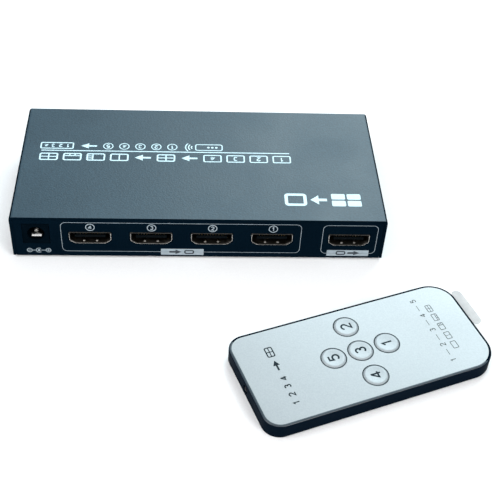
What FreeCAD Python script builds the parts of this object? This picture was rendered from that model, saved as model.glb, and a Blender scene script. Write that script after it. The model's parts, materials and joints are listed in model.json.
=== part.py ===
import FreeCAD, Part
import math
import os
from types import SimpleNamespace

import Sketcher

# The set is a flat sheet-metal box with five video sockets, and its card remote control.
# X runs along the socket row, Y from the sockets to the control side, Z is up.
# The origin is the centre of the box's underside, and lengths are in millimetres.

SIZES = {
    # Folded steel case
    "case_wide": 132.9,
    "case_deep": 63.6,
    "case_high": 18.0,
    "sheet_thick": 1.0,
    "bend_inner": 0.3,
    "seam_gap": 0.15,
    "flange_long": 50.0,
    "flange_high": 13.5,
    "lip_long": 98.0,
    "lip_deep": 4.5,
    "foot_radius": 4.5,
    "foot_high": 1.0,
    "foot_inset": 10.0,
    "foot_taper": 0.4,
    "cover_screw_height": 11.0,
    "cover_screw_spacing": 28.0,
    "cover_screw_long": 4.0,
    "screw_radius": 1.25,
    "screw_play": 0.08,
    "flat_head_radius": 2.3,
    "pan_head_radius": 2.4,
    "pan_head_high": 1.5,
    "recess_wide": 2.5,
    "recess_slot": 0.5,
    "recess_deep": 0.6,
    "screw_end_gap": 0.5,
    # Circuit board and what holds it
    "board_thick": 1.6,
    "board_margin": 1.3,
    "board_corner": 1.5,
    "standoff_high": 3.4,
    "standoff_radius": 2.6,
    "standoff_inset": 6.2,
    "standoff_front": 17.8,
    "standoff_back": 7.8,
    # Video sockets
    "socket_wide": 14.0,
    "socket_tall": 4.55,
    "socket_wall": 0.4,
    "socket_bevel_across": 1.9,
    "socket_bevel_up": 1.35,
    "socket_long": 11.6,
    "socket_proud": 0.3,
    "socket_play": 0.2,
    "input_inset": 27.65,
    "output_inset": 13.05,
    "output_apart": 6.2,
    "tongue_wide": 10.9,
    "tongue_thick": 1.05,
    "tongue_recess": 1.0,
    "tongue_lift": 0.25,
    "tongue_root": 0.5,
    "insulator_deep": 3.0,
    "insulator_play": 0.05,
    "contact_wide": 0.45,
    "contact_thick": 0.12,
    "contact_pitch": 1.0,
    "contact_recess": 0.4,
    "dimple_radius": 0.55,
    "dimple_high": 0.4,
    "dimple_spread": 2.25,
    "dimple_depth": 1.7,
    # Power inlet
    "jack_inset": 8.8,
    "jack_wide": 9.2,
    "jack_tall": 8.9,
    "jack_long": 12.6,
    "jack_play": 0.2,
    "jack_bore_radius": 3.1,
    "jack_bore_deep": 9.5,
    "jack_pin_radius": 1.0,
    "jack_pin_recess": 1.6,
    "jack_pin_sunk": 2.0,
    "jack_pin_play": 0.02,
    "jack_blade_wide": 3.6,
    "jack_blade_thick": 0.4,
    "jack_blade_play": 0.1,
    "jack_blade_recess": 1.2,
    "jack_blade_bend": 3.0,
    "jack_groove_recess": 0.6,
    # Select button, lamps and infrared eye on the control side
    "button_inset": 22.45,
    "button_radius": 2.3,
    "button_proud": 1.2,
    "button_play": 0.25,
    "button_travel": 0.5,
    "button_flange_radius": 3.0,
    "button_flange_thick": 0.8,
    "button_flange_gap": 0.1,
    "button_edge": 0.3,
    "button_neck_radius": 1.4,
    "button_neck_play": 0.1,
    "button_neck_bare": 1.2,
    "button_neck_sunk": 1.4,
    "button_neck_room": 0.2,
    "switch_wide": 6.0,
    "switch_deep": 3.6,
    "switch_tall": 6.2,
    "lamp_count": 5,
    "lamp_centre": -2.0,
    "lamp_pitch": 9.0,
    "lamp_height": 1.9,
    "pipe_radius": 1.2,
    "pipe_play": 0.15,
    "pipe_proud": 0.3,
    "pipe_tail": 1.2,
    "pipe_bar_thick": 1.0,
    "pipe_bar_inset": 0.2,
    "pipe_bar_end": 3.0,
    "pipe_bar_rise": 0.6,
    "lamp_side": 1.8,
    "lamp_deep": 1.1,
    "lamp_gap": 0.1,
    "eye_inset": 20.45,
    "eye_wide": 8.0,
    "eye_tall": 6.0,
    "eye_play": 0.1,
    "eye_flange": 1.0,
    "eye_flange_thick": 0.8,
    "eye_corner": 1.2,
    "receiver_gap": 0.15,
    "receiver_stand": 0.8,
    "receiver_leg": 0.5,
    "receiver_leg_pitch": 1.5,
    "receiver_wide": 5.0,
    "receiver_deep": 3.0,
    "receiver_tall": 6.0,
    "receiver_dome": 1.8,
    # Processor and the parts round it
    "processor_x": -2.0,
    "processor_y": 4.0,
    "processor_side": 20.0,
    "processor_thick": 1.4,
    "pad_thick": 0.5,
    "sink_base": 1.4,
    "sink_high": 6.2,
    "sink_fin": 0.9,
    "sink_pitch": 2.1,
    "pad_inset": 1.0,
    "memory_wide": 12.5,
    "memory_deep": 9.6,
    "memory_thick": 1.1,
    "equaliser_side": 6.0,
    "equaliser_thick": 0.9,
    "equaliser_behind": 17.8,
    "control_chip_side": 10.0,
    "control_chip_thick": 1.4,
    "regulator_wide": 6.6,
    "regulator_deep": 6.1,
    "regulator_thick": 2.3,
    "inductor_side": 7.0,
    "inductor_thick": 3.6,
    "inductor_corner": 0.9,
    "capacitor_radius": 3.15,
    "capacitor_high": 7.4,
    "capacitor_base_thick": 1.0,
    "capacitor_base_rim": 0.15,
    "capacitor_edge": 0.3,
    "capacitor_groove": 1.9,
    "crystal_long": 11.0,
    "crystal_wide": 4.4,
    "crystal_high": 3.4,
    "crystal_corner": 2.1,
    "passive_wide": 0.9,
    "passive_deep": 1.6,
    "passive_thick": 0.7,
    "passive_pitch": 2.0,
    "passive_behind": 13.1,
    "passive_clear": 2.5,
    # Remote control
    "remote_x": 53.07,
    "remote_y": -80.43,
    "remote_turn": 19.88,
    "remote_long": 82.8,
    "remote_wide": 39.0,
    "remote_high": 5.9,
    "remote_top_corner": 5.9,
    "remote_end_corner": 8.9,
    "remote_wall": 1.2,
    "remote_floor": 0.8,
    "remote_seam": 3.2,
    "remote_rim": 0.9,
    "remote_skin": 0.43,
    "remote_chamfer": 0.6,
    "remote_round": 0.6,
    "film_thick": 0.2,
    "film_sink": 0.04,
    "film_play": 0.05,
    "key_radius": 4.15,
    "key_play": 0.1,
    "key_crown": 0.34,
    "key_skirt": 0.44,
    "key_nub_radius": 1.5,
    "key_row_x": -0.69,
    "key_row_y": 0.15,
    "key_pitch_x": 9.75,
    "key_pitch_y": 11.0,
    "dome_radius": 2.5,
    "dome_high": 0.26,
    "dome_gap": 0.03,
    "dome_cover": 0.04,
    "dome_rim": 0.06,
    "card_thick": 0.6,
    "card_inset_x": 7.0,
    "card_inset_y": 2.8,
    "card_left_corner": 1.5,
    "card_right_corner": 4.0,
    "encoder_long": 8.6,
    "encoder_wide": 5.4,
    "encoder_high": 1.5,
    "resonator_long": 5.5,
    "resonator_wide": 2.6,
    "resonator_high": 1.9,
    "driver_long": 2.9,
    "driver_wide": 1.6,
    "driver_high": 1.1,
    "resistor_long": 2.0,
    "resistor_wide": 1.25,
    "resistor_high": 0.8,
    "card_capacitor_long": 3.2,
    "card_capacitor_wide": 1.6,
    "card_capacitor_high": 1.2,
    "emitter_radius": 1.5,
    "emitter_long": 5.0,
    "emitter_raise": 0.85,
    "emitter_flange": 0.2,
    "emitter_flange_long": 0.8,
    "emitter_play": 0.1,
    "lead_thick": 0.4,
    "lead_spread": 1.1,
    "lead_reach": 2.0,
    "cell_radius": 10.0,
    "cell_thick": 2.5,
    "cell_play": 0.15,
    "drawer_wide": 30.6,
    "drawer_floor": 0.6,
    "drawer_play": 0.1,
    "drawer_lip": 2.0,
    "drawer_back_inset": 0.5,
    "latch_wide": 0.7,
    "latch_inset": 1.0,
    "latch_end": 8.0,
    "grip_wide": 8.0,
    "grip_tall": 1.0,
    "grip_deep": 0.6,
    "tab_wide": 16.5,
    "tab_margin": 0.3,
    "tab_long": 24.1,
    "tab_thick": 0.1,
    "tab_gap": 0.05,
    "tab_proud": 4.6,
    "tab_corner": 3.0,
    "tab_inner_corner": 0.5,
    "strip_thick": 0.12,
    "strip_wide": 4.0,
    "spring_thick": 0.3,
    "spring_gap": 0.12,
    "spring_raise": 0.5,
    "strip_inset": 1.0,
    "rib_thick": 1.0,
    "post_radius": 1.6,
    "post_inset_x": 4.0,
    "post_inset_y": 3.0,
    "rib_root": 0.2,
}

doc = FreeCAD.newDocument("video_multiviewer")
sheet = doc.addObject("Spreadsheet::Sheet", "sizes")
for row, (alias, number) in enumerate(SIZES.items(), start=1):
    sheet.set(f"A{row}", alias)
    sheet.set(f"B{row}", str(number))
    sheet.setAlias(f"B{row}", alias)
doc.recompute()


class Size:
    """A length held both as a number and as a formula of the sheet's cells."""

    def __init__(self, number, formula=None):
        self.number = float(number)
        self.formula = formula or repr(float(number))

    def __add__(self, other):
        other = as_size(other)
        return Size(self.number + other.number, f"({self.formula} + {other.formula})")

    def __sub__(self, other):
        other = as_size(other)
        return Size(self.number - other.number, f"({self.formula} - {other.formula})")

    def __mul__(self, other):
        other = as_size(other)
        return Size(self.number * other.number, f"({self.formula} * {other.formula})")

    def __truediv__(self, other):
        other = as_size(other)
        return Size(self.number / other.number, f"({self.formula} / {other.formula})")

    def __neg__(self):
        return self * -1

    def __radd__(self, other):
        return as_size(other) + self

    def __rsub__(self, other):
        return as_size(other) - self

    def __rmul__(self, other):
        return as_size(other) * self


def as_size(value):
    return value if isinstance(value, Size) else Size(value)


d = SimpleNamespace(**{alias: Size(sheet.get(alias), f"sizes.{alias}") for alias in SIZES})

# Levels and places that several pieces share
HALF_WIDE = d.case_wide / 2
HALF_DEEP = d.case_deep / 2
TRAY_HALF = HALF_WIDE - d.sheet_thick - d.seam_gap
PANEL_INNER = HALF_DEEP - d.sheet_thick
PANEL_TOP = d.case_high - d.sheet_thick - d.seam_gap
BOARD_LOW = d.sheet_thick + d.standoff_high
BOARD_TOP = BOARD_LOW + d.board_thick
BOARD_HALF_WIDE = TRAY_HALF - d.sheet_thick - d.board_margin
BOARD_HALF_DEEP = PANEL_INNER - d.board_margin
SOCKET_Z = BOARD_TOP + d.socket_wall + d.socket_tall / 2
SOCKET_FRONT = -HALF_DEEP - d.socket_proud
JACK_Z = BOARD_TOP + d.jack_tall / 2
JACK_X = d.jack_inset - HALF_WIDE
OUTPUT_X = HALF_WIDE - d.output_inset
INPUT_PITCH = (OUTPUT_X - d.output_apart - d.input_inset + HALF_WIDE) / 4
INPUTS = [d.input_inset - HALF_WIDE + INPUT_PITCH * place for place in range(4)]
BUTTON_X = HALF_WIDE - d.button_inset
EYE_X = d.eye_inset - HALF_WIDE
LAMP_COUNT = int(d.lamp_count.number)
LAMPS = [
    d.lamp_centre + d.lamp_pitch * (place - (LAMP_COUNT - 1) / 2) for place in range(LAMP_COUNT)
]
LAMP_Z = BOARD_TOP + d.lamp_height
BUTTON_SUNK = d.button_flange_gap + d.button_flange_thick + 2 * d.button_travel
SWITCH_FACE = PANEL_INNER - BUTTON_SUNK - d.button_neck_bare
BUTTON_Z = BOARD_TOP + d.switch_tall / 2
EYE_Z = BOARD_TOP + d.receiver_stand + d.receiver_tall / 2
COVER_SCREWS = [(side, end * d.cover_screw_spacing / 2) for side in (-1, 1) for end in (-1, 1)]
STANDOFFS = [
    (side * (TRAY_HALF - d.standoff_inset), y)
    for side in (-1, 1)
    for y in (d.standoff_front - HALF_DEEP, HALF_DEEP - d.standoff_back)
]
FEET = [
    (across * (HALF_WIDE - d.foot_inset), along * (HALF_DEEP - d.foot_inset))
    for across in (-1, 1)
    for along in (-1, 1)
]

# Levels in the remote control, counted up from what it lies on
FILM_TOP = d.remote_high - d.film_sink
FILM_LOW = FILM_TOP - d.film_thick
SKIN_LOW = FILM_LOW - d.remote_skin
DOME_TOP = SKIN_LOW - d.dome_cover
CARD_TOP = DOME_TOP - d.dome_high
CARD_LOW = CARD_TOP - d.card_thick
STRIP_LOW = CARD_LOW - d.strip_thick
TAB_LOW = STRIP_LOW - d.tab_gap - d.tab_thick
CELL_TOP = TAB_LOW - d.tab_gap
CELL_LOW = CELL_TOP - d.cell_thick
DRAWER_LOW = d.remote_floor + d.drawer_play
DRAWER_TOP = TAB_LOW - d.tab_gap
REMOTE_END = d.remote_long / 2
CARD_END = REMOTE_END - d.card_inset_x
CARD_SIDE = d.remote_wide / 2 - d.card_inset_y
EMITTER_Z = d.remote_floor + d.emitter_raise + d.emitter_radius
CELL_X = REMOTE_END - d.drawer_lip - d.cell_play - d.cell_radius - d.remote_wall
DRAWER_BACK = CELL_X - d.cell_radius + d.drawer_back_inset
KEYS = {
    1: (d.key_row_x + d.key_pitch_x, d.key_row_y),
    2: (d.key_row_x, d.key_row_y + d.key_pitch_y),
    3: (d.key_row_x, d.key_row_y),
    4: (d.key_row_x, d.key_row_y - d.key_pitch_y),
    5: (d.key_row_x - d.key_pitch_x, d.key_row_y),
}


def bind(thing, field, size):
    thing.setExpression(field, as_size(size).formula)


def new_body(label):
    body = doc.addObject("PartDesign::Body", label)
    body.Label = label
    return body


def open_sketch(body, facing, centre):
    """A sketch that faces up, to the front or to the side, with its origin at centre."""
    x, y, z = (as_size(value) for value in centre)
    role, places = {
        "up": ("XY_Plane", (x, y, z)),
        "front": ("XZ_Plane", (x, z, -y)),
        "side": ("YZ_Plane", (y, z, x)),
    }[facing]
    sketch = body.newObject("Sketcher::SketchObject", f"{body.Label}_sketch")
    plane = next(item for item in body.Origin.OriginFeatures if item.Role == role)
    sketch.AttachmentSupport = (plane, [""])
    sketch.MapMode = "FlatFace"
    for axis, place in zip("xyz", places):
        bind(sketch, f"AttachmentOffset.Base.{axis}", place)
    return sketch


def hold(sketch, kind, *where, size):
    """A driving constraint whose value is a formula."""
    size = as_size(size)
    index = sketch.addConstraint(Sketcher.Constraint(kind, *where, size.number))
    bind(sketch, f"Constraints[{index}]", size)


def polygon(points):
    """A closed outline of straight edges, with each corner held from the sketch's origin."""
    corners = [(as_size(across), as_size(up)) for across, up in points]

    def draw(sketch):
        places = [FreeCAD.Vector(across.number, up.number, 0) for across, up in corners]
        count = len(places)
        for index in range(count):
            edge = Part.LineSegment(places[index], places[(index + 1) % count])
            sketch.addGeometry(edge, False)
        for index in range(count):
            following = (index + 1) % count
            sketch.addConstraint(Sketcher.Constraint("Coincident", index, 2, following, 1))
        for index, (across, up) in enumerate(corners):
            hold(sketch, "DistanceX", -1, 1, index, 1, size=across)
            hold(sketch, "DistanceY", -1, 1, index, 1, size=up)

    return draw


def rectangle(wide, tall):
    wide, tall = as_size(wide) / 2, as_size(tall) / 2
    return polygon([(-wide, -tall), (wide, -tall), (wide, tall), (-wide, tall)])


def circle(radius):
    def draw(sketch):
        centre = FreeCAD.Vector(0, 0, 0)
        round_edge = Part.Circle(centre, FreeCAD.Vector(0, 0, 1), as_size(radius).number)
        sketch.addGeometry(round_edge, False)
        sketch.addConstraint(Sketcher.Constraint("Coincident", 0, 3, -1, 1))
        hold(sketch, "Radius", 0, size=radius)

    return draw


def rounded(left, right, low, high, left_radius, right_radius):
    """A rectangle with one corner radius at its left end and another at its right end."""
    left, right, low, high = (as_size(value) for value in (left, right, low, high))
    left_radius, right_radius = as_size(left_radius), as_size(right_radius)

    def draw(sketch):
        x0, x1, y0, y1 = left.number, right.number, low.number, high.number
        corners = [
            (x1 - right_radius.number, y0 + right_radius.number, right_radius, 270),
            (x1 - right_radius.number, y1 - right_radius.number, right_radius, 0),
            (x0 + left_radius.number, y1 - left_radius.number, left_radius, 90),
            (x0 + left_radius.number, y0 + left_radius.number, left_radius, 180),
        ]
        arcs = []
        for x, y, radius, start in corners:
            full = Part.Circle(FreeCAD.Vector(x, y, 0), FreeCAD.Vector(0, 0, 1), radius.number)
            turn = math.radians(start)
            arc = Part.ArcOfCircle(full, turn, turn + math.pi / 2)
            arcs.append(sketch.addGeometry(arc, False))
        lines = []
        for index in range(4):
            leave = sketch.getPoint(arcs[index], 2)
            reach = sketch.getPoint(arcs[(index + 1) % 4], 1)
            lines.append(sketch.addGeometry(Part.LineSegment(leave, reach), False))
        for index in range(4):
            following = arcs[(index + 1) % 4]
            sketch.addConstraint(Sketcher.Constraint("Tangent", arcs[index], 2, lines[index], 1))
            sketch.addConstraint(Sketcher.Constraint("Tangent", lines[index], 2, following, 1))
            sketch.addConstraint(
                Sketcher.Constraint("Horizontal" if index % 2 else "Vertical", lines[index])
            )
        for arc, (_, _, radius, _) in zip(arcs, corners):
            hold(sketch, "Radius", arc, size=radius)
        hold(sketch, "DistanceX", -1, 1, lines[0], 1, size=right)
        hold(sketch, "DistanceY", -1, 1, lines[1], 1, size=high)
        hold(sketch, "DistanceX", -1, 1, lines[2], 1, size=left)
        hold(sketch, "DistanceY", -1, 1, lines[3], 1, size=low)

    return draw


def pad(body, facing, centre, outline, length, cut=False):
    """Material, or a cut, of the given length, half on each side of the centre."""
    sketch = open_sketch(body, facing, centre)
    outline(sketch)
    kind = "Pocket" if cut else "Pad"
    feature = body.newObject(f"PartDesign::{kind}", f"{body.Label}_{kind.lower()}")
    feature.Profile = (sketch, [""])
    feature.SideType = "Symmetric"
    bind(feature, "Length", length)
    return feature


def block(body, x, y, z, cut=False):
    """A rectangular block, or a rectangular cut, between low and high places on each axis."""
    (x0, x1), (y0, y1), (z0, z1) = (map(as_size, pair) for pair in (x, y, z))
    centre = ((x0 + x1) / 2, (y0 + y1) / 2, (z0 + z1) / 2)
    return pad(body, "up", centre, rectangle(x1 - x0, y1 - y0), z1 - z0, cut)


def turned(body, axis, centre, profile, cut=False):
    """A turned form, or a turned cut: the profile gives places along the axis and radii."""
    if axis == "z":
        facing, spin = "front", "V_Axis"
        points = [(radius, along) for along, radius in profile]
    else:
        facing, spin = ("side" if axis == "y" else "front"), "H_Axis"
        points = list(profile)
    sketch = open_sketch(body, facing, centre)
    polygon(points)(sketch)
    kind = "Groove" if cut else "Revolution"
    feature = body.newObject(f"PartDesign::{kind}", f"{body.Label}_{kind.lower()}")
    feature.Profile = (sketch, [""])
    feature.ReferenceAxis = (sketch, [spin])
    feature.Angle = 360
    return feature


def soften(body, kind, size, chosen):
    """Rounds or bevels the edges that chosen accepts."""
    doc.recompute()
    base = body.Tip
    box = base.Shape.BoundBox
    edges = enumerate(base.Shape.Edges, start=1)
    names = [f"Edge{index}" for index, edge in edges if chosen(edge, box)]
    feature = body.newObject(f"PartDesign::{kind}", f"{body.Label}_{kind.lower()}")
    feature.Base = (base, names)
    bind(feature, "Radius" if kind == "Fillet" else "Size", size)
    return feature


def in_order(*places):
    return sorted(places, key=lambda place: as_size(place).number)


def near(first, second):
    return abs(first - second) < 1e-4


def runs_along(edge, axis):
    if edge.Curve.TypeId != "Part::GeomLine":
        return False
    return abs(getattr(edge.tangentAt(edge.FirstParameter), axis)) > 0.999


def at_sides(edge, box):
    middle = edge.CenterOfMass.x
    return near(middle, box.XMin) or near(middle, box.XMax)


def lies_at(edge, level):
    return near(edge.BoundBox.ZMin, level) and near(edge.BoundBox.ZMax, level)


def crowned(body, centre, radius, low, edge, top):
    """A round piece whose upper face swells from its edge to its middle."""
    sketch = open_sketch(body, "front", centre)
    radius, low, edge, top = (as_size(value) for value in (radius, low, edge, top))
    rise = top - edge
    hollow = top.number - (radius.number ** 2 + rise.number ** 2) / (2 * rise.number)
    foot, rim_low, rim, crest = (
        FreeCAD.Vector(across, up, 0)
        for across, up in (
            (0, low.number),
            (radius.number, low.number),
            (radius.number, edge.number),
            (0, top.number),
        )
    )
    ball = Part.Circle(FreeCAD.Vector(0, hollow, 0), FreeCAD.Vector(0, 0, 1), crest.y - hollow)
    for piece in (
        Part.LineSegment(foot, rim_low),
        Part.LineSegment(rim_low, rim),
        Part.ArcOfCircle(ball, ball.parameter(rim), ball.parameter(crest)),
        Part.LineSegment(crest, foot),
    ):
        sketch.addGeometry(piece, False)
    for first, second in ((0, 1), (1, 2), (2, 3), (3, 0)):
        sketch.addConstraint(Sketcher.Constraint("Coincident", first, 2, second, 1))
    sketch.addConstraint(Sketcher.Constraint("PointOnObject", 2, 3, -2))
    sketch.addConstraint(Sketcher.Constraint("PointOnObject", 3, 1, -2))
    sketch.addConstraint(Sketcher.Constraint("Vertical", 3))
    sketch.addConstraint(Sketcher.Constraint("Horizontal", 0))
    sketch.addConstraint(Sketcher.Constraint("Vertical", 1))
    hold(sketch, "DistanceX", -1, 1, 1, 2, size=radius)
    hold(sketch, "DistanceY", -1, 1, 0, 2, size=low)
    hold(sketch, "DistanceY", -1, 1, 1, 2, size=edge)
    hold(sketch, "DistanceY", -1, 1, 3, 1, size=top)
    feature = body.newObject("PartDesign::Revolution", f"{body.Label}_revolution")
    feature.Profile = (sketch, [""])
    feature.ReferenceAxis = (sketch, ["V_Axis"])
    feature.Angle = 360
    return feature


def ball(body, centre, radius):
    feature = body.newObject("PartDesign::AdditiveSphere", f"{body.Label}_ball")
    bind(feature, "Radius", radius)
    for axis, place in zip("xyz", centre):
        bind(feature, f"Placement.Base.{axis}", place)
    return feature


# Case

def top_cover():
    body = new_body("top_cover")
    block(body, (-HALF_WIDE, HALF_WIDE), (-HALF_DEEP, HALF_DEEP), (0, d.case_high))
    inner = HALF_WIDE - d.sheet_thick
    overrun = HALF_DEEP + d.sheet_thick
    ceiling = d.case_high - d.sheet_thick
    block(body, (-inner, inner), (-overrun, overrun), (-d.sheet_thick, ceiling), cut=True)
    outer_bend = d.bend_inner + d.sheet_thick
    soften(
        body,
        "Fillet",
        outer_bend,
        lambda edge, box: runs_along(edge, "y")
        and at_sides(edge, box)
        and lies_at(edge, box.ZMax),
    )
    soften(
        body,
        "Fillet",
        d.bend_inner,
        lambda edge, box: runs_along(edge, "y")
        and near(abs(edge.CenterOfMass.x), inner.number)
        and lies_at(edge, ceiling.number),
    )
    for side, y in COVER_SCREWS:
        countersink(body, side, y)
    return body


def countersink(body, side, y):
    """A hole in the cover's side that takes a flat screw head level with the sheet."""
    sunk = d.flat_head_radius + d.screw_play
    hole = d.screw_radius + d.screw_play
    deep = sunk - hole
    profile = [
        (side, 0),
        (side, sunk),
        (0, sunk),
        (-side * deep, hole),
        (-side * 2 * d.sheet_thick, hole),
        (-side * 2 * d.sheet_thick, 0),
    ]
    turned(body, "x", (side * HALF_WIDE, y, d.cover_screw_height), profile, cut=True)


def base_tray():
    body = new_body("base_tray")
    block(body, (-TRAY_HALF, TRAY_HALF), (-PANEL_INNER, PANEL_INNER), (0, d.sheet_thick))
    for side in (-1, 1):
        edges = in_order(side * TRAY_HALF, side * (TRAY_HALF - d.sheet_thick))
        block(body, edges, (-d.flange_long / 2, d.flange_long / 2), (0, d.flange_high))
    soften(
        body,
        "Fillet",
        d.bend_inner,
        lambda edge, box: runs_along(edge, "y")
        and not at_sides(edge, box)
        and lies_at(edge, d.sheet_thick.number),
    )
    for side, y in COVER_SCREWS:
        centre = (side * (TRAY_HALF - d.sheet_thick / 2), y, d.cover_screw_height)
        hole = circle(d.screw_radius + d.screw_play)
        pad(body, "side", centre, hole, 2 * d.sheet_thick, cut=True)
    return body


def end_panel(label, side):
    """An upright end sheet with a lip that lies on the tray's floor."""
    body = new_body(label)
    if side < 0:
        plate, lip = (-HALF_DEEP, -PANEL_INNER), (-PANEL_INNER, d.lip_deep - PANEL_INNER)
    else:
        plate, lip = (PANEL_INNER, HALF_DEEP), (PANEL_INNER - d.lip_deep, PANEL_INNER)
    block(body, (-TRAY_HALF, TRAY_HALF), plate, (0, PANEL_TOP))
    block(body, (-d.lip_long / 2, d.lip_long / 2), lip, (d.sheet_thick, 2 * d.sheet_thick))
    return body


def port_panel():
    body = end_panel("port_panel", -1)
    middle = (-HALF_DEEP - PANEL_INNER) / 2
    window = socket_outline(d.socket_wall + d.socket_play)
    for place in INPUTS + [OUTPUT_X]:
        pad(body, "front", (place, middle, SOCKET_Z), window, 2 * d.sheet_thick, cut=True)
    window = rectangle(d.jack_wide + 2 * d.jack_play, d.jack_tall + 2 * d.jack_play)
    pad(body, "front", (JACK_X, middle, JACK_Z), window, 2 * d.sheet_thick, cut=True)
    return body


def eye_outline(grow, corner):
    wide, tall = d.eye_wide / 2 + grow, d.eye_tall / 2 + grow
    return rounded(-wide, wide, -tall, tall, corner, corner)


def control_panel():
    body = end_panel("control_panel", 1)
    middle = (HALF_DEEP + PANEL_INNER) / 2
    through = 2 * d.sheet_thick
    button_hole = circle(d.button_radius + d.button_play)
    pad(body, "front", (BUTTON_X, middle, BUTTON_Z), button_hole, through, cut=True)
    for place in LAMPS:
        lamp_hole = circle(d.pipe_radius + d.pipe_play)
        pad(body, "front", (place, middle, LAMP_Z), lamp_hole, through, cut=True)
    window = eye_outline(d.eye_play, d.eye_corner + d.eye_play)
    pad(body, "front", (EYE_X, middle, EYE_Z), window, through, cut=True)
    return body


def cross_recess(body, facing, centre):
    """The crossed slots in a screw's head."""
    for wide, tall in ((d.recess_wide, d.recess_slot), (d.recess_slot, d.recess_wide)):
        pad(body, facing, centre, rectangle(wide, tall), 2 * d.recess_deep, cut=True)


def cover_screws():
    body = new_body("cover_screws")
    for side, y in COVER_SCREWS:
        deep = d.flat_head_radius - d.screw_radius
        profile = [
            (0, 0),
            (0, d.flat_head_radius),
            (-side * deep, d.screw_radius),
            (-side * d.cover_screw_long, d.screw_radius),
            (-side * d.cover_screw_long, 0),
        ]
        centre = (side * HALF_WIDE, y, d.cover_screw_height)
        turned(body, "x", centre, profile)
        cross_recess(body, "side", centre)
    return body


def rubber_feet():
    body = new_body("rubber_feet")
    for x, y in FEET:
        profile = [
            (0, 0),
            (0, d.foot_radius),
            (-d.foot_high, d.foot_radius - d.foot_taper),
            (-d.foot_high, 0),
        ]
        turned(body, "z", (x, y, 0), profile)
    return body


# Circuit board

def main_board():
    body = new_body("main_board")
    wide, deep = BOARD_HALF_WIDE, BOARD_HALF_DEEP
    corner = d.board_corner
    outline = rounded(-wide, wide, -deep, deep, corner, corner)
    pad(body, "up", (0, 0, (BOARD_LOW + BOARD_TOP) / 2), outline, d.board_thick)
    for x, y in STANDOFFS:
        hole = circle(d.screw_radius + d.screw_play)
        pad(body, "up", (x, y, BOARD_TOP), hole, 4 * d.board_thick, cut=True)
    return body


def board_standoffs():
    body = new_body("board_standoffs")
    for x, y in STANDOFFS:
        bore = d.screw_radius + d.screw_play
        profile = [
            (0, bore),
            (0, d.standoff_radius),
            (d.standoff_high, d.standoff_radius),
            (d.standoff_high, bore),
        ]
        turned(body, "z", (x, y, d.sheet_thick), profile)
    return body


def board_screws():
    body = new_body("board_screws")
    for x, y in STANDOFFS:
        shank = d.board_thick + d.standoff_high - d.screw_end_gap
        profile = [
            (-shank, 0),
            (-shank, d.screw_radius),
            (0, d.screw_radius),
            (0, d.pan_head_radius),
            (d.pan_head_high * 0.6, d.pan_head_radius),
            (d.pan_head_high, d.pan_head_radius * 0.7),
            (d.pan_head_high, 0),
        ]
        turned(body, "z", (x, y, BOARD_TOP), profile)
        cross_recess(body, "up", (x, y, BOARD_TOP + d.pan_head_high))
    return body


# Video sockets

def socket_outline(grow):
    """The socket's section, wide above and bevelled below, grown on every side."""
    grow = as_size(grow)
    half_wide, half_tall = d.socket_wide / 2 + grow, d.socket_tall / 2 + grow
    mitre = grow * 0.4
    shoulder = d.socket_bevel_up - half_tall + mitre
    sole = half_wide - d.socket_bevel_across - mitre
    return polygon(
        [
            (-half_wide, half_tall),
            (-half_wide, shoulder),
            (-sole, -half_tall),
            (sole, -half_tall),
            (half_wide, shoulder),
            (half_wide, half_tall),
        ]
    )


def video_socket(name, x):
    """One receptacle: a folded shell, an insulator with its tongue, and nineteen contacts."""
    back = SOCKET_FRONT + d.socket_long
    middle = (SOCKET_FRONT + back) / 2
    shell = new_body(f"{name}_shell")
    pad(shell, "front", (x, middle, SOCKET_Z), socket_outline(d.socket_wall), d.socket_long)
    pad(shell, "front", (x, middle, SOCKET_Z), socket_outline(0), d.socket_long + 1, cut=True)
    sole = SOCKET_Z - d.socket_tall / 2
    for side in (-1, 1):
        centre = (x + side * d.dimple_spread, SOCKET_FRONT + d.dimple_depth, sole)
        profile = [
            (-d.socket_wall / 2, 0),
            (-d.socket_wall / 2, d.dimple_radius),
            (0, d.dimple_radius),
            (d.dimple_high, d.dimple_radius * 0.5),
            (d.dimple_high, 0),
        ]
        turned(shell, "z", centre, profile)

    insulator = new_body(f"{name}_insulator")
    face = back - d.insulator_deep
    centre = (x, (face + back) / 2, SOCKET_Z)
    pad(insulator, "front", centre, socket_outline(-d.insulator_play), d.insulator_deep)
    tongue_z = SOCKET_Z + d.tongue_lift
    tongue_low, tongue_high = tongue_z - d.tongue_thick / 2, tongue_z + d.tongue_thick / 2
    half = d.tongue_wide / 2
    tip = SOCKET_FRONT + d.tongue_recess
    reach = (tip, face + d.tongue_root)
    block(insulator, (x - half, x + half), reach, (tongue_low, tongue_high))

    contacts = new_body(f"{name}_contacts")
    rows = (
        (10, tongue_high, tongue_high + d.contact_thick),
        (9, tongue_low - d.contact_thick, tongue_low),
    )
    for count, low, high in rows:
        first = x - d.contact_pitch * (count - 1) / 2
        for index in range(count):
            place = first + d.contact_pitch * index
            edges = (place - d.contact_wide / 2, place + d.contact_wide / 2)
            block(contacts, edges, (tip + d.contact_recess, face), (low, high))


# Power inlet

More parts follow.
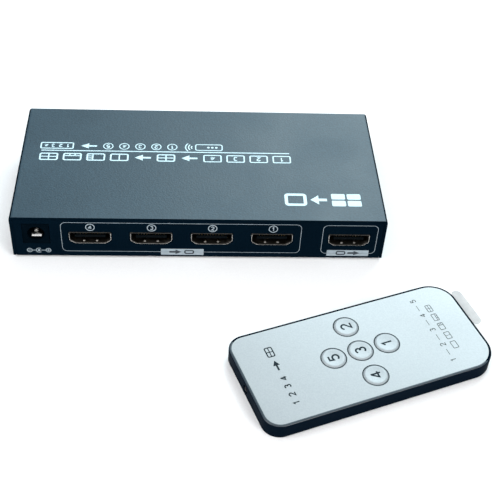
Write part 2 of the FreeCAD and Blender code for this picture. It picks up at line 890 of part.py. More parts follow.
def power_jack():
    housing = new_body("power_jack_housing")
    x, front = JACK_X, -HALF_DEEP
    half = d.jack_wide / 2
    levels = (BOARD_TOP, BOARD_TOP + d.jack_tall)
    block(housing, (x - half, x + half), (front, front + d.jack_long), levels)
    mouth = circle(d.jack_bore_radius)
    pad(housing, "front", (x, front, JACK_Z), mouth, 2 * d.jack_bore_deep, cut=True)
    bore_end = front + d.jack_bore_deep
    groove = d.jack_blade_wide / 2 + d.jack_blade_play
    groove_low = JACK_Z - d.jack_bore_radius - d.jack_blade_thick
    reach = (front + d.jack_groove_recess, bore_end)
    block(housing, (x - groove, x + groove), reach, (groove_low, JACK_Z), cut=True)
    seat = circle(d.jack_pin_radius + d.jack_pin_play)
    pad(housing, "front", (x, bore_end, JACK_Z), seat, 2 * d.jack_pin_sunk, cut=True)

    pin = new_body("power_jack_pin")
    tip, root = d.jack_pin_recess, d.jack_bore_deep + d.jack_pin_sunk
    profile = [
        (tip, 0),
        (tip, d.jack_pin_radius * 0.6),
        (tip + d.jack_pin_radius / 2, d.jack_pin_radius),
        (root, d.jack_pin_radius),
        (root, 0),
    ]
    turned(pin, "y", (x, front, JACK_Z), profile)

    blade = new_body("power_jack_blade")
    sides = (x - d.jack_blade_wide / 2, x + d.jack_blade_wide / 2)
    start = front + d.jack_blade_recess
    bend = start + d.jack_blade_bend
    block(blade, sides, (start, bore_end), (groove_low, groove_low + d.jack_blade_thick))
    block(blade, sides, (start, bend), (groove_low, groove_low + 2 * d.jack_blade_thick))


# Control side

def select_button():
    body = new_body("select_button")
    flange_out = PANEL_INNER - d.button_flange_gap
    flange_in = flange_out - d.button_flange_thick
    neck_in = SWITCH_FACE - d.button_neck_sunk
    face = HALF_DEEP + d.button_proud
    profile = [
        (neck_in, 0),
        (neck_in, d.button_neck_radius),
        (flange_in, d.button_neck_radius),
        (flange_in, d.button_flange_radius),
        (flange_out, d.button_flange_radius),
        (flange_out, d.button_radius),
        (face - d.button_edge, d.button_radius),
        (face, d.button_radius - d.button_edge),
        (face, 0),
    ]
    turned(body, "y", (BUTTON_X, 0, BUTTON_Z), profile)
    return body


def select_switch():
    body = new_body("select_switch")
    half = d.switch_wide / 2
    sides = (BUTTON_X - half, BUTTON_X + half)
    levels = (BOARD_TOP, BOARD_TOP + d.switch_tall)
    block(body, sides, (SWITCH_FACE - d.switch_deep, SWITCH_FACE), levels)
    bore = circle(d.button_neck_radius + d.button_neck_play)
    deep = d.button_neck_sunk + d.button_travel + d.button_neck_room
    pad(body, "front", (BUTTON_X, SWITCH_FACE, BUTTON_Z), bore, 2 * deep, cut=True)
    return body


def light_pipes():
    body = new_body("light_pipe_bar")
    bar_out = BOARD_HALF_DEEP - d.pipe_bar_inset
    bar_in = bar_out - d.pipe_bar_thick
    tail = bar_in - d.pipe_tail
    sides = (LAMPS[0] - d.pipe_bar_end, LAMPS[-1] + d.pipe_bar_end)
    levels = (BOARD_TOP, LAMP_Z + d.pipe_radius + d.pipe_bar_rise)
    block(body, sides, (bar_in, bar_out), levels)
    for place in LAMPS:
        profile = [
            (tail, 0),
            (tail, d.pipe_radius),
            (HALF_DEEP, d.pipe_radius),
            (HALF_DEEP + d.pipe_proud, d.pipe_radius - d.pipe_proud),
            (HALF_DEEP + d.pipe_proud, 0),
        ]
        turned(body, "y", (place, 0, LAMP_Z), profile)
    lamps = new_body("status_lamps")
    face = tail - d.lamp_gap
    half = d.lamp_side / 2
    for place in LAMPS:
        reach = (face - d.lamp_deep, face)
        block(lamps, (place - half, place + half), reach, (BOARD_TOP, LAMP_Z + half))


def infrared_eye():
    receiver = new_body("infrared_receiver")
    x = EYE_X
    dome_tip = PANEL_INNER - d.eye_flange_thick - d.receiver_gap
    face = dome_tip - d.receiver_dome
    half = d.receiver_wide / 2
    foot = BOARD_TOP + d.receiver_stand
    levels = (foot, foot + d.receiver_tall)
    block(receiver, (x - half, x + half), (face - d.receiver_deep, face), levels)
    ball(receiver, (x, face, EYE_Z), d.receiver_dome)
    middle = face - d.receiver_deep / 2
    thin = d.receiver_leg / 2
    for index in (-1, 0, 1):
        place = x + d.receiver_leg_pitch * index
        sides = (place - thin, place + thin)
        block(receiver, sides, (middle - thin, middle + thin), (BOARD_TOP, foot + thin))

    window = new_body("infrared_window")
    middle = (PANEL_INNER + HALF_DEEP) / 2
    pad(window, "front", (x, middle, EYE_Z), eye_outline(0, d.eye_corner), d.sheet_thick)
    middle = PANEL_INNER - d.eye_flange_thick / 2
    flange = eye_outline(d.eye_flange, d.eye_corner)
    pad(window, "front", (x, middle, EYE_Z), flange, d.eye_flange_thick)


# Processor and the parts round it

def chips(label, places, wide, deep, thick, base=BOARD_TOP):
    """Flat packages of one kind, side by side on the board."""
    body = new_body(label)
    wide, deep = as_size(wide), as_size(deep)
    for x, y in places:
        block(body, (x - wide / 2, x + wide / 2), (y - deep / 2, y + deep / 2), (base, base + thick))
    return body


def processor_stack():
    x, y, side = d.processor_x, d.processor_y, d.processor_side
    chips("video_processor", [(x, y)], side, side, d.processor_thick)
    pad_low = BOARD_TOP + d.processor_thick
    pad_side = side - 2 * d.pad_inset
    chips("thermal_pad", [(x, y)], pad_side, pad_side, d.pad_thick, base=pad_low)
    sink_low = pad_low + d.pad_thick
    sink = chips("processor_heat_sink", [(x, y)], side, side, d.sink_high, base=sink_low)
    slot = d.sink_pitch - d.sink_fin
    count = int((side.number - d.sink_fin.number) / d.sink_pitch.number)
    first = x - d.sink_pitch * (count - 1) / 2
    for index in range(count):
        place = first + d.sink_pitch * index
        depth = (sink_low + d.sink_base, sink_low + d.sink_high + 1)
        block(sink, (place - slot / 2, place + slot / 2), (y - side, y + side), depth, cut=True)


def on_board(*shares):
    """Places given as shares of the board's half width and half depth."""
    return [(BOARD_HALF_WIDE * across, BOARD_HALF_DEEP * along) for across, along in shares]


def board_parts():
    memory = on_board((0.338, 0.288), (0.338, -0.102))
    chips("memory_chips", memory, d.memory_wide, d.memory_deep, d.memory_thick)
    behind = d.equaliser_behind - HALF_DEEP
    side = d.equaliser_side
    chips("equaliser_chips", [(place, behind) for place in INPUTS], side, side, d.equaliser_thick)
    side = d.control_chip_side
    chips("control_chip", on_board((-0.45, 0.203)), side, side, d.control_chip_thick)
    regulators = on_board((-0.876, -0.119), (-0.876, 0.203), (0.659, -0.203))
    chips("regulator_chips", regulators, d.regulator_wide, d.regulator_deep, d.regulator_thick)

    beside = on_board((-0.7235, -0.119), (-0.7235, 0.203), (0.82, -0.203))
    side = d.inductor_side
    inductors = chips("power_inductors", beside, side, side, d.inductor_thick)
    soften(inductors, "Fillet", d.inductor_corner, lambda edge, box: runs_along(edge, "z"))

    capacitors = new_body("bulk_capacitors")
    radius, top, edge = d.capacitor_radius, d.capacitor_high, d.capacitor_edge
    half = radius + d.capacitor_base_rim
    groove = d.capacitor_groove
    for x, y in on_board((-0.876, 0.525), (-0.7235, 0.525), (0.579, 0.203), (0.7235, 0.203)):
        levels = (BOARD_TOP, BOARD_TOP + d.capacitor_base_thick)
        block(capacitors, (x - half, x + half), (y - half, y + half), levels)
        profile = [
            (d.capacitor_base_thick / 2, 0),
            (d.capacitor_base_thick / 2, radius),
            (groove - edge, radius),
            (groove, radius - edge),
            (groove + edge, radius),
            (top - edge, radius),
            (top, radius - edge),
            (top, 0),
        ]
        turned(capacitors, "z", (x, y, BOARD_TOP), profile)

    crystal = new_body("clock_crystal")
    along, across, corner = d.crystal_long / 2, d.crystal_wide / 2, d.crystal_corner
    outline = rounded(-along, along, -across, across, corner, corner)
    (x, y), = on_board((-0.45, -0.186))
    pad(crystal, "up", (x, y, BOARD_TOP + d.crystal_high / 2), outline, d.crystal_high)

    row = d.passive_behind - HALF_DEEP
    small_parts = [
        (place + d.passive_pitch * step, row) for place in INPUTS for step in (-2, -1, 0, 1, 2)
    ]
    row = d.processor_y + d.processor_side / 2 + d.passive_clear
    small_parts += [(d.processor_x + d.passive_pitch * step, row) for step in range(-4, 5)]
    chips("board_passives", small_parts, d.passive_wide, d.passive_deep, d.passive_thick)


# Remote control

def on_remote(body):
    """Lays a piece drawn on the remote's own centre lines at the remote's place."""
    bind(body, "Placement.Base.x", d.remote_x)
    bind(body, "Placement.Base.y", d.remote_y)
    bind(body, "Placement.Base.z", -d.foot_high)
    body.setExpression("Placement.Rotation.Angle", "sizes.remote_turn * 1 deg")
    return body


def remote_outline(inset):
    inset = as_size(inset)
    along, across = d.remote_long / 2 - inset, d.remote_wide / 2 - inset
    start, end = d.remote_top_corner - inset, d.remote_end_corner - inset
    return rounded(-along, along, -across, across, start, end)


def slab(body, inset, low, high, cut=False):
    """A slice of the remote's outline between two levels."""
    low, high = as_size(low), as_size(high)
    return pad(body, "up", (0, 0, (low + high) / 2), remote_outline(inset), high - low, cut)


def key_windows(body, radius):
    for x, y in KEYS.values():
        pad(body, "up", (x, y, FILM_LOW), circle(radius), 4 * d.remote_skin, cut=True)


def drawer_way(body, low, high):
    """The mouth in the end wall that the battery drawer and the pull tab go through."""
    half = d.drawer_wide / 2 + d.drawer_play
    inside = REMOTE_END - d.remote_wall - d.remote_end_corner / 2
    block(body, (inside, REMOTE_END + 1), (-half, half), (low, high), cut=True)


def emitter_hole(body):
    hole = circle(d.emitter_radius + d.emitter_play)
    pad(body, "side", (-REMOTE_END, 0, EMITTER_Z), hole, 4 * d.remote_wall, cut=True)


def remote_lower_case():
    body = new_body("remote_lower_case")
    slab(body, 0, 0, d.remote_seam)
    soften(body, "Chamfer", d.remote_chamfer, lambda edge, box: lies_at(edge, box.ZMin))
    slab(body, d.remote_wall, d.remote_floor, d.remote_seam + 1, cut=True)
    drawer_way(body, d.remote_floor, d.remote_seam + 1)
    emitter_hole(body)
    inner = d.drawer_wide / 2 + d.drawer_play
    reach = (DRAWER_BACK, REMOTE_END - d.remote_end_corner)
    root = d.remote_floor - d.rib_root
    post_x = d.post_inset_x - CARD_END
    for side in (-1, 1):
        sides = in_order(side * inner, side * (inner + d.rib_thick))
        block(body, reach, sides, (root, CARD_LOW))
        post_y = side * (CARD_SIDE - d.post_inset_y)
        centre = (post_x, post_y, (root + CARD_LOW) / 2)
        pad(body, "up", centre, circle(d.post_radius), CARD_LOW - root)
    return on_remote(body)


def remote_upper_case():
    body = new_body("remote_upper_case")
    slab(body, 0, d.remote_seam, d.remote_high)
    soften(body, "Fillet", d.remote_round, lambda edge, box: lies_at(edge, box.ZMax))
    slab(body, d.remote_wall, d.remote_seam - 1, SKIN_LOW, cut=True)
    slab(body, d.remote_rim, FILM_LOW, d.remote_high + 1, cut=True)
    key_windows(body, d.key_radius + d.key_play)
    drawer_way(body, d.remote_seam - 1, CARD_LOW)
    emitter_hole(body)
    return on_remote(body)


def remote_face_film():
    body = new_body("remote_face_film")
    slab(body, d.remote_rim + d.film_play, FILM_LOW, FILM_TOP)
    key_windows(body, d.key_radius + d.key_play)
    return on_remote(body)


def remote_keys():
    for number, (x, y) in KEYS.items():
        body = new_body(f"remote_key_{number}")
        skirt = FILM_TOP - d.key_skirt
        crowned(body, (x, y, 0), d.key_radius, skirt, FILM_TOP, FILM_TOP + d.key_crown)
        nub_low = DOME_TOP + d.dome_gap
        centre = (x, y, (nub_low + skirt) / 2 + 0.05)
        pad(body, "up", centre, circle(d.key_nub_radius), skirt - nub_low + 0.1)
        on_remote(body)


def remote_key_domes():
    body = new_body("remote_key_domes")
    for x, y in KEYS.values():
        crowned(body, (x, y, 0), d.dome_radius, CARD_TOP, CARD_TOP + d.dome_rim, DOME_TOP)
    return on_remote(body)


def remote_card():
    body = new_body("remote_card")
    corners = (d.card_left_corner, d.card_right_corner)
    outline = rounded(-CARD_END, CARD_END, -CARD_SIDE, CARD_SIDE, *corners)
    pad(body, "up", (0, 0, (CARD_LOW + CARD_TOP) / 2), outline, d.card_thick)
    return on_remote(body)


def remote_card_parts():
    body = new_body("remote_card_parts")
    for along, across, long, wide, high in (
        (-0.44, 0.0, d.encoder_long, d.encoder_wide, d.encoder_high),
        (-0.44, 0.48, d.resonator_long, d.resonator_wide, d.resonator_high),
        (-0.7, -0.3, d.driver_long, d.driver_wide, d.driver_high),
        (-0.7, 0.3, d.resistor_long, d.resistor_wide, d.resistor_high),
        (-0.15, 0.36, d.card_capacitor_long, d.card_capacitor_wide, d.card_capacitor_high),
    ):
        x, y = CARD_END * along, CARD_SIDE * across
        sides = (x - long / 2, x + long / 2)
        block(body, sides, (y - wide / 2, y + wide / 2), (CARD_LOW - high, CARD_LOW))
    return on_remote(body)


def infrared_emitter():
    body = new_body("infrared_emitter")
    radius = d.emitter_radius
    start = -REMOTE_END + radius
    end = -REMOTE_END + d.emitter_long
    profile = [
        (start, 0),
        (start, radius),
        (end - d.emitter_flange_long, radius),
        (end - d.emitter_flange_long, radius + d.emitter_flange),
        (end, radius + d.emitter_flange),
        (end, 0),
    ]
    turned(body, "x", (0, 0, EMITTER_Z), profile)
    ball(body, (start, 0, EMITTER_Z), radius)
    reach = d.lead_reach - CARD_END
    thin = d.lead_thick / 2
    for side in (-1, 1):
        y = side * d.lead_spread
        sides = (y - thin, y + thin)
        block(body, (end - thin, reach), sides, (EMITTER_Z - thin, EMITTER_Z + thin))
        block(body, (reach - d.lead_thick, reach), sides, (EMITTER_Z - thin, CARD_LOW))
    return on_remote(body)


def battery_contacts():
    body = new_body("battery_contacts")
    wide = d.strip_wide / 2
    reach = d.drawer_wide / 2 - d.strip_inset
    block(body, (CELL_X - wide, CELL_X + wide), (-reach, wide), (STRIP_LOW, CARD_LOW))
    touch = CELL_X - d.cell_radius - d.spring_gap
    levels = (CELL_LOW + d.spring_raise, CARD_LOW)
    block(body, (touch - d.spring_thick, touch), (-wide, wide), levels)
    return on_remote(body)


def battery_drawer():
    body = new_body("battery_drawer")
    slab(body, 0, DRAWER_LOW, DRAWER_TOP)
    far = d.remote_wide
    half = d.drawer_wide / 2
    levels = (DRAWER_LOW - 1, DRAWER_TOP + 1)
    block(body, (-2 * REMOTE_END, DRAWER_BACK), (-far, far), levels, cut=True)
    block(body, (-2 * REMOTE_END, 2 * REMOTE_END), (half, far), levels, cut=True)
    block(body, (-2 * REMOTE_END, 2 * REMOTE_END), (-far, -half), levels, cut=True)
    bay = circle(d.cell_radius + d.cell_play)
    bay_low = DRAWER_LOW + d.drawer_floor
    pad(body, "up", (CELL_X, 0, bay_low + d.cell_thick), bay, 2 * d.cell_thick, cut=True)
    arm = d.latch_inset - half
    reach = (DRAWER_BACK - 1, REMOTE_END - d.latch_end)
    block(body, reach, (arm, arm + d.latch_wide), levels, cut=True)
    middle = (DRAWER_LOW + DRAWER_TOP) / 2
    wide, tall = d.grip_wide / 2, d.grip_tall / 2
    reach = (REMOTE_END - d.grip_deep, REMOTE_END + 1)
    block(body, reach, (-wide, wide), (middle - tall, middle + tall), cut=True)
    return on_remote(body)


def coin_cell():
    body = new_body("coin_cell")
    radius = d.cell_radius
    profile = [
        (0, 0),
        (0, radius - 1.2),
        (0.3, radius - 1.0),
        (0.45, radius),
        (d.cell_thick - 0.3, radius),
        (d.cell_thick, radius - 0.3),
        (d.cell_thick, 0),
    ]
    turned(body, "z", (CELL_X, 0, CELL_LOW), profile)
    return on_remote(body)


def isolation_tab():
    body = new_body("isolation_tab")
    out = REMOTE_END + d.tab_proud
    high = d.drawer_wide / 2 - d.tab_margin
    sides = (high - d.tab_wide, high)
    outline = rounded(out - d.tab_long, out, *sides, d.tab_inner_corner, d.tab_corner)
    pad(body, "up", (0, 0, TAB_LOW + d.tab_thick / 2), outline, d.tab_thick)
    return on_remote(body)


top_cover()
base_tray()
port_panel()
control_panel()
cover_screws()
rubber_feet()
main_board()
board_standoffs()
board_screws()
for number, place in zip((4, 3, 2, 1), INPUTS):
    video_socket(f"input_{number}", place)
video_socket("output", OUTPUT_X)
power_jack()
select_button()
select_switch()
light_pipes()
infrared_eye()
processor_stack()
board_parts()
remote_lower_case()
remote_upper_case()
remote_face_film()
remote_keys()
remote_key_domes()
remote_card()
remote_card_parts()
infrared_emitter()
battery_contacts()
battery_drawer()
coin_cell()
isolation_tab()
doc.recompute()

for thing in doc.Objects:
    if "Invalid" in thing.State or "Error" in thing.State:
        raise RuntimeError(f"{thing.Label} did not recompute: {thing.State}")

bodies = [thing for thing in doc.Objects if thing.isDerivedFrom("PartDesign::Body")]
for body in bodies:
    if body.Shape.isNull() or not body.Shape.isValid():
        raise RuntimeError(f"{body.Label} has no sound shape")

os.makedirs("parts", exist_ok=True)
for body in bodies:
    body.Shape.exportStep(f"parts/{body.Label}.step")
    box = body.Shape.BoundBox
    size = f"{box.XLength:.2f} x {box.YLength:.2f} x {box.ZLength:.2f}"
    print(f"{body.Label}: {len(body.Shape.Solids)} solids, {size} mm, {body.Shape.Volume:.1f} mm3")
print(f"{len(bodies)} nodes")
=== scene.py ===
import json
import math

import bpy
import bmesh
from mathutils import Matrix, Vector


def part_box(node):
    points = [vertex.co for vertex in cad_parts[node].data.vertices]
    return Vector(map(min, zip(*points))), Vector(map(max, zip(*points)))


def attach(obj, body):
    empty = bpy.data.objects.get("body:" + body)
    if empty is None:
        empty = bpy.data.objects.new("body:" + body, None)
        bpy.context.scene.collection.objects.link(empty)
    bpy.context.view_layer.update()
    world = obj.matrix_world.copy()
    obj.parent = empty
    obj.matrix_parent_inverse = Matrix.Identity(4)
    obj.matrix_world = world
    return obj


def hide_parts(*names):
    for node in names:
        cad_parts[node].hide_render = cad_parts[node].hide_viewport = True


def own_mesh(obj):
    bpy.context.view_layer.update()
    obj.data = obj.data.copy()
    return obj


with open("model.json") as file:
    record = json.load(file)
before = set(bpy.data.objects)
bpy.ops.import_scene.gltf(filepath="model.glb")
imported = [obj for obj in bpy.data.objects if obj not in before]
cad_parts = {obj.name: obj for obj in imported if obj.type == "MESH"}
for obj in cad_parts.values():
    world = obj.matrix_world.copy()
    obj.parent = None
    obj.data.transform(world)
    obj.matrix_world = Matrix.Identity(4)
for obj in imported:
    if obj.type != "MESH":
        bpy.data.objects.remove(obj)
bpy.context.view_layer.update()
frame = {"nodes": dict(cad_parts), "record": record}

MM = 0.001
X, Y, Z = range(3)
INK_THICK = 0.01
INK_SUNK = 0.02


def span(node, axis):
    """The least and greatest place of a CAD node on an axis, in millimetres."""
    low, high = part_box(node)
    return low[axis] / MM, high[axis] / MM


def middle(node, axis):
    return sum(span(node, axis)) / 2


# The case and what shows on it, in millimetres
PORT_FACE = span("port_panel", Y)[0]
CONTROL_FACE = span("control_panel", Y)[1]
CASE_TOP = span("top_cover", Z)[1]
PORT_PLACES = {number: middle(f"input_{number}_shell", X) for number in (4, 3, 2, 1)}
JACK_PLACE = middle("power_jack_housing", X)
BUTTON_PLACE = middle("select_button", X)
EYE_PLACE = middle("infrared_window", X)
LAMP_PLACES = [-20.0, -11.0, -2.0, 7.0, 16.0]

# Heights of the marks on both panels count up from this level
PRINT_DROP = 8.275
PRINT_LEVEL = middle("output_shell", Z) - PRINT_DROP

# The remote control's place, turn, and length over width
REMOTE_PLACE = (middle("remote_upper_case", X), middle("remote_upper_case", Y))
REMOTE_TURN = math.radians(19.88)
REMOTE_SLENDER = 82.8 / 39.0
REMOTE_FLOOR = span("remote_lower_case", Z)[0]
FILM_TOP = span("remote_face_film", Z)[1]
ALONG = Vector((math.cos(REMOTE_TURN), math.sin(REMOTE_TURN), 0))
ACROSS = Vector((-math.sin(REMOTE_TURN), math.cos(REMOTE_TURN), 0))

# Its keys: the sloping rim's width, the skirt below the film, the stem's radius, and the share
# of a key's height that its dished top goes down
KEYS = {number: f"remote_key_{number}" for number in range(1, 6)}
KEY_MIDDLES = {number: (middle(node, X), middle(node, Y)) for number, node in KEYS.items()}
KEY_LOW, KEY_TOP = span(KEYS[1], Z)
KEY_RADIUS = (span(KEYS[1], X)[1] - span(KEYS[1], X)[0]) / 2
KEY_SLOPE, KEY_SKIRT, KEY_STEM, KEY_DISH = 0.7, 0.44, 1.5, 0.4
KEY_FLAT = KEY_RADIUS - KEY_SLOPE

# The snap domes below them: radius, height of the rim, and the share that stays when pressed
DOME_RADIUS, DOME_RIM, DOME_PRESSED = 2.5, 0.06, 0.13

# The pull tab: radius and length of the grip, how far its middle is from the outer end, and the
# sides of the strip
GRIP_ROUND, GRIP_LONG, GRIP_BACK = 1.85, 16.35, 2.15
STRIP_SIDES = (2.0, 14.4)


# Shader groups

def new_group(name, sockets_in, sockets_out):
    group = bpy.data.node_groups.new(name, "ShaderNodeTree")
    for label, kind, value in sockets_in:
        socket = group.interface.new_socket(name=label, in_out="INPUT", socket_type=kind)
        if value is not None:
            socket.default_value = value
    for label, kind in sockets_out:
        group.interface.new_socket(name=label, in_out="OUTPUT", socket_type=kind)
    return group, group.nodes.new("NodeGroupInput"), group.nodes.new("NodeGroupOutput")


def colour_drift_group():
    """Slow changes of tone and of gloss over a surface."""
    group, start, end = new_group(
        "colour_drift",
        [
            ("Vector", "NodeSocketVector", None),
            ("Colour", "NodeSocketColor", (0.5, 0.5, 0.5, 1)),
            ("Other Colour", "NodeSocketColor", (0.4, 0.4, 0.4, 1)),
            ("Scale", "NodeSocketFloat", 60.0),
            ("Least Roughness", "NodeSocketFloat", 0.4),
            ("Most Roughness", "NodeSocketFloat", 0.5),
            ("Speckle", "NodeSocketFloat", 0.05),
            ("Speckle Scale", "NodeSocketFloat", 2500.0),
        ],
        [("Colour", "NodeSocketColor"), ("Roughness", "NodeSocketFloat")],
    )
    nodes, links = group.nodes, group.links
    noise = nodes.new("ShaderNodeTexNoise")
    noise.inputs["Detail"].default_value = 4.0
    spread = nodes.new("ShaderNodeMapRange")
    spread.inputs["From Min"].default_value = 0.3
    spread.inputs["From Max"].default_value = 0.7
    mix = nodes.new("ShaderNodeMix")
    mix.data_type = "RGBA"
    gloss = nodes.new("ShaderNodeMapRange")
    links.new(start.outputs["Vector"], noise.inputs["Vector"])
    links.new(start.outputs["Scale"], noise.inputs["Scale"])
    links.new(noise.outputs["Fac"], spread.inputs["Value"])
    links.new(spread.outputs["Result"], mix.inputs["Factor"])
    links.new(start.outputs["Colour"], mix.inputs["A"])
    links.new(start.outputs["Other Colour"], mix.inputs["B"])
    links.new(spread.outputs["Result"], gloss.inputs["Value"])
    links.new(start.outputs["Least Roughness"], gloss.inputs["To Min"])
    links.new(start.outputs["Most Roughness"], gloss.inputs["To Max"])
    dots = nodes.new("ShaderNodeTexNoise")
    dots.inputs["Detail"].default_value = 2.0
    centred = nodes.new("ShaderNodeMath")
    centred.operation = "SUBTRACT"
    centred.inputs[1].default_value = 0.5
    amount = nodes.new("ShaderNodeMath")
    amount.operation = "MULTIPLY_ADD"
    amount.inputs[2].default_value = 1.0
    speckled = nodes.new("ShaderNodeVectorMath")
    speckled.operation = "SCALE"
    links.new(start.outputs["Vector"], dots.inputs["Vector"])
    links.new(start.outputs["Speckle Scale"], dots.inputs["Scale"])
    links.new(dots.outputs["Fac"], centred.inputs[0])
    links.new(centred.outputs["Value"], amount.inputs[0])
    links.new(start.outputs["Speckle"], amount.inputs[1])
    links.new(mix.outputs["Result"], speckled.inputs[0])
    links.new(amount.outputs["Value"], speckled.inputs["Scale"])
    links.new(speckled.outputs["Vector"], end.inputs["Colour"])
    links.new(gloss.outputs["Result"], end.inputs["Roughness"])
    return group


# How much the grain's cells count beside its fine noise
CELL_SHARE = 0.35


def fine_grain_group():
    """The small relief of powder paint, moulded plastic or blasted metal."""
    group, start, end = new_group(
        "fine_grain",
        [
            ("Vector", "NodeSocketVector", None),
            ("Scale", "NodeSocketFloat", 2000.0),
            ("Stretch", "NodeSocketVector", (1.0, 1.0, 1.0)),
        ],
        [("Height", "NodeSocketFloat")],
    )
    nodes, links = group.nodes, group.links
    stretch = nodes.new("ShaderNodeVectorMath")
    stretch.operation = "MULTIPLY"
    fine = nodes.new("ShaderNodeTexNoise")
    fine.inputs["Detail"].default_value = 3.0
    cells = nodes.new("ShaderNodeTexVoronoi")
    blend = nodes.new("ShaderNodeMath")
    blend.operation = "MULTIPLY_ADD"
    blend.inputs[1].default_value = CELL_SHARE
    links.new(start.outputs["Vector"], stretch.inputs[0])
    links.new(start.outputs["Stretch"], stretch.inputs[1])
    for texture in (fine, cells):
        links.new(stretch.outputs["Vector"], texture.inputs["Vector"])
        links.new(start.outputs["Scale"], texture.inputs["Scale"])
    links.new(cells.outputs["Distance"], blend.inputs[0])
    links.new(fine.outputs["Fac"], blend.inputs[2])
    links.new(blend.outputs["Value"], end.inputs["Height"])
    return group


COLOUR_DRIFT = colour_drift_group()
FINE_GRAIN = fine_grain_group()
FINISHES = {}


def finish(
    name, colour, other, drift, rough, grain, relief,
    stretch=(1, 1, 1), speckle=(0.1, 2500), **shader_values,
):
    """A procedural finish: two tones that drift, fine speckle, a range of roughness, and a relief.

    The drift, the grain and the speckle have scales; the relief has a height in millimetres.
    """
    material = bpy.data.materials.new(name)
    material.use_nodes = True
    nodes, links = material.node_tree.nodes, material.node_tree.links
    shader = nodes["Principled BSDF"]
    place = nodes.new("ShaderNodeTexCoord")
    tone = nodes.new("ShaderNodeGroup")
    tone.node_tree = COLOUR_DRIFT
    tone.inputs["Colour"].default_value = (*colour, 1)
    tone.inputs["Other Colour"].default_value = (*other, 1)
    tone.inputs["Scale"].default_value = drift
    tone.inputs["Least Roughness"].default_value = rough[0]
    tone.inputs["Most Roughness"].default_value = rough[1]
    tone.inputs["Speckle"].default_value = speckle[0]
    tone.inputs["Speckle Scale"].default_value = speckle[1]
    relief_map = nodes.new("ShaderNodeGroup")
    relief_map.node_tree = FINE_GRAIN
    relief_map.inputs["Scale"].default_value = grain
    relief_map.inputs["Stretch"].default_value = stretch
    bump = nodes.new("ShaderNodeBump")
    bump.inputs["Distance"].default_value = relief * MM
    bump.inputs["Strength"].default_value = 1.0
    for group in (tone, relief_map):
        links.new(place.outputs["Object"], group.inputs["Vector"])
    links.new(tone.outputs["Colour"], shader.inputs["Base Color"])
    links.new(tone.outputs["Roughness"], shader.inputs["Roughness"])
    links.new(relief_map.outputs["Height"], bump.inputs["Height"])
    links.new(bump.outputs["Normal"], shader.inputs["Normal"])
    for label, value in shader_values.items():
        socket = label.replace("_", " ").title().replace("Ior", "IOR")
        shader.inputs[socket].default_value = value
    FINISHES[name] = material


def metal(*values):
    """A finish of bare metal."""
    finish(*values, metallic=1.0)


# A lighter, glossier copy of the black case paint, for the cover's flat top only: a painted sheen
# of the light that falls on the top.
finish(
    "cover_sheen_paint", (0.0160, 0.0400, 0.0582), (0.0216, 0.0494, 0.0704), 45, (0.44, 0.52), 1700, 0.06,
    speckle=(0.9, 1700), specular_ior_level=0.47,
)
finish(
    "panel_paint", (0.0006, 0.0044, 0.0094), (0.0010, 0.0056, 0.0112), 60, (0.5, 0.6), 1900, 0.05,
    specular_ior_level=0.004,
)
metal("screw_steel", (0.05, 0.05, 0.055), (0.09, 0.09, 0.1), 900, (0.3, 0.45), 3000, 0.02)
finish("foot_rubber", (0.012, 0.012, 0.014), (0.02, 0.02, 0.022), 300, (0.7, 0.85), 2600, 0.08)
finish("board_laminate", (0.008, 0.09, 0.045), (0.012, 0.12, 0.06), 120, (0.3, 0.42), 900, 0.03)
metal(
    "standoff_brass", (0.62, 0.45, 0.18), (0.7, 0.52, 0.24), 400, (0.25, 0.35), 900, 0.01,
    (1, 1, 8),
)
metal("screw_zinc", (0.55, 0.57, 0.6), (0.66, 0.66, 0.66), 500, (0.25, 0.4), 2400, 0.02)
metal("socket_nickel", (0.46, 0.445, 0.42), (0.56, 0.54, 0.51), 500, (0.22, 0.32), 1200, 0.01)
# A darker copy of the socket nickel for the springs and the inlet's pin deep inside: painted shade.
metal("spring_nickel", (0.19, 0.182, 0.168), (0.25, 0.24, 0.224), 500, (0.22, 0.32), 1200, 0.01)
metal("socket_shade", (0.046, 0.043, 0.039), (0.064, 0.060, 0.055), 500, (0.3, 0.45), 1200, 0.01)
finish(
    "insulator_black", (0.0012, 0.0026, 0.0036), (0.0018, 0.0034, 0.0048), 300, (0.5, 0.65), 2600,
    0.02, specular_ior_level=0.03,
)
metal("contact_gold", (0.80, 0.56, 0.22), (0.86, 0.64, 0.30), 700, (0.2, 0.32), 2400, 0.01)
finish(
    "jack_black", (0.0, 0.002, 0.004), (0.0005, 0.003, 0.006), 200, (0.45, 0.6), 2200, 0.03,
    specular_ior_level=0.006,
)
metal("jack_nickel", (0.72, 0.72, 0.72), (0.8, 0.8, 0.79), 500, (0.2, 0.3), 1500, 0.01)
finish("button_black", (0.012, 0.012, 0.014), (0.018, 0.018, 0.02), 300, (0.35, 0.45), 2500, 0.03)
finish("switch_plastic", (0.02, 0.02, 0.023), (0.03, 0.03, 0.034), 250, (0.45, 0.6), 2500, 0.03)
finish(
    "pipe_clear", (0.86, 0.9, 0.92), (0.8, 0.86, 0.9), 200, (0.12, 0.2), 1500, 0.01,
    transmission_weight=0.7, ior=1.49,
)
finish(
    "lamp_resin", (0.7, 0.76, 0.66), (0.76, 0.8, 0.7), 400, (0.15, 0.25), 1500, 0.01,
    transmission_weight=0.4,
)
finish(
    "infrared_resin", (0.005, 0.002, 0.003), (0.008, 0.003, 0.005), 150, (0.16, 0.24), 1200, 0.008,
    specular_ior_level=0.08,
)
finish("chip_epoxy", (0.014, 0.014, 0.016), (0.022, 0.022, 0.024), 300, (0.5, 0.65), 2200, 0.04)
finish("pad_silicone", (0.38, 0.45, 0.56), (0.44, 0.5, 0.6), 200, (0.6, 0.75), 1800, 0.05)
metal(
    "sink_aluminium", (0.6, 0.61, 0.63), (0.7, 0.7, 0.71), 200, (0.28, 0.4), 900, 0.02, (1, 12, 12),
)
finish("ferrite", (0.05, 0.05, 0.054), (0.075, 0.075, 0.08), 500, (0.5, 0.7), 1800, 0.08)
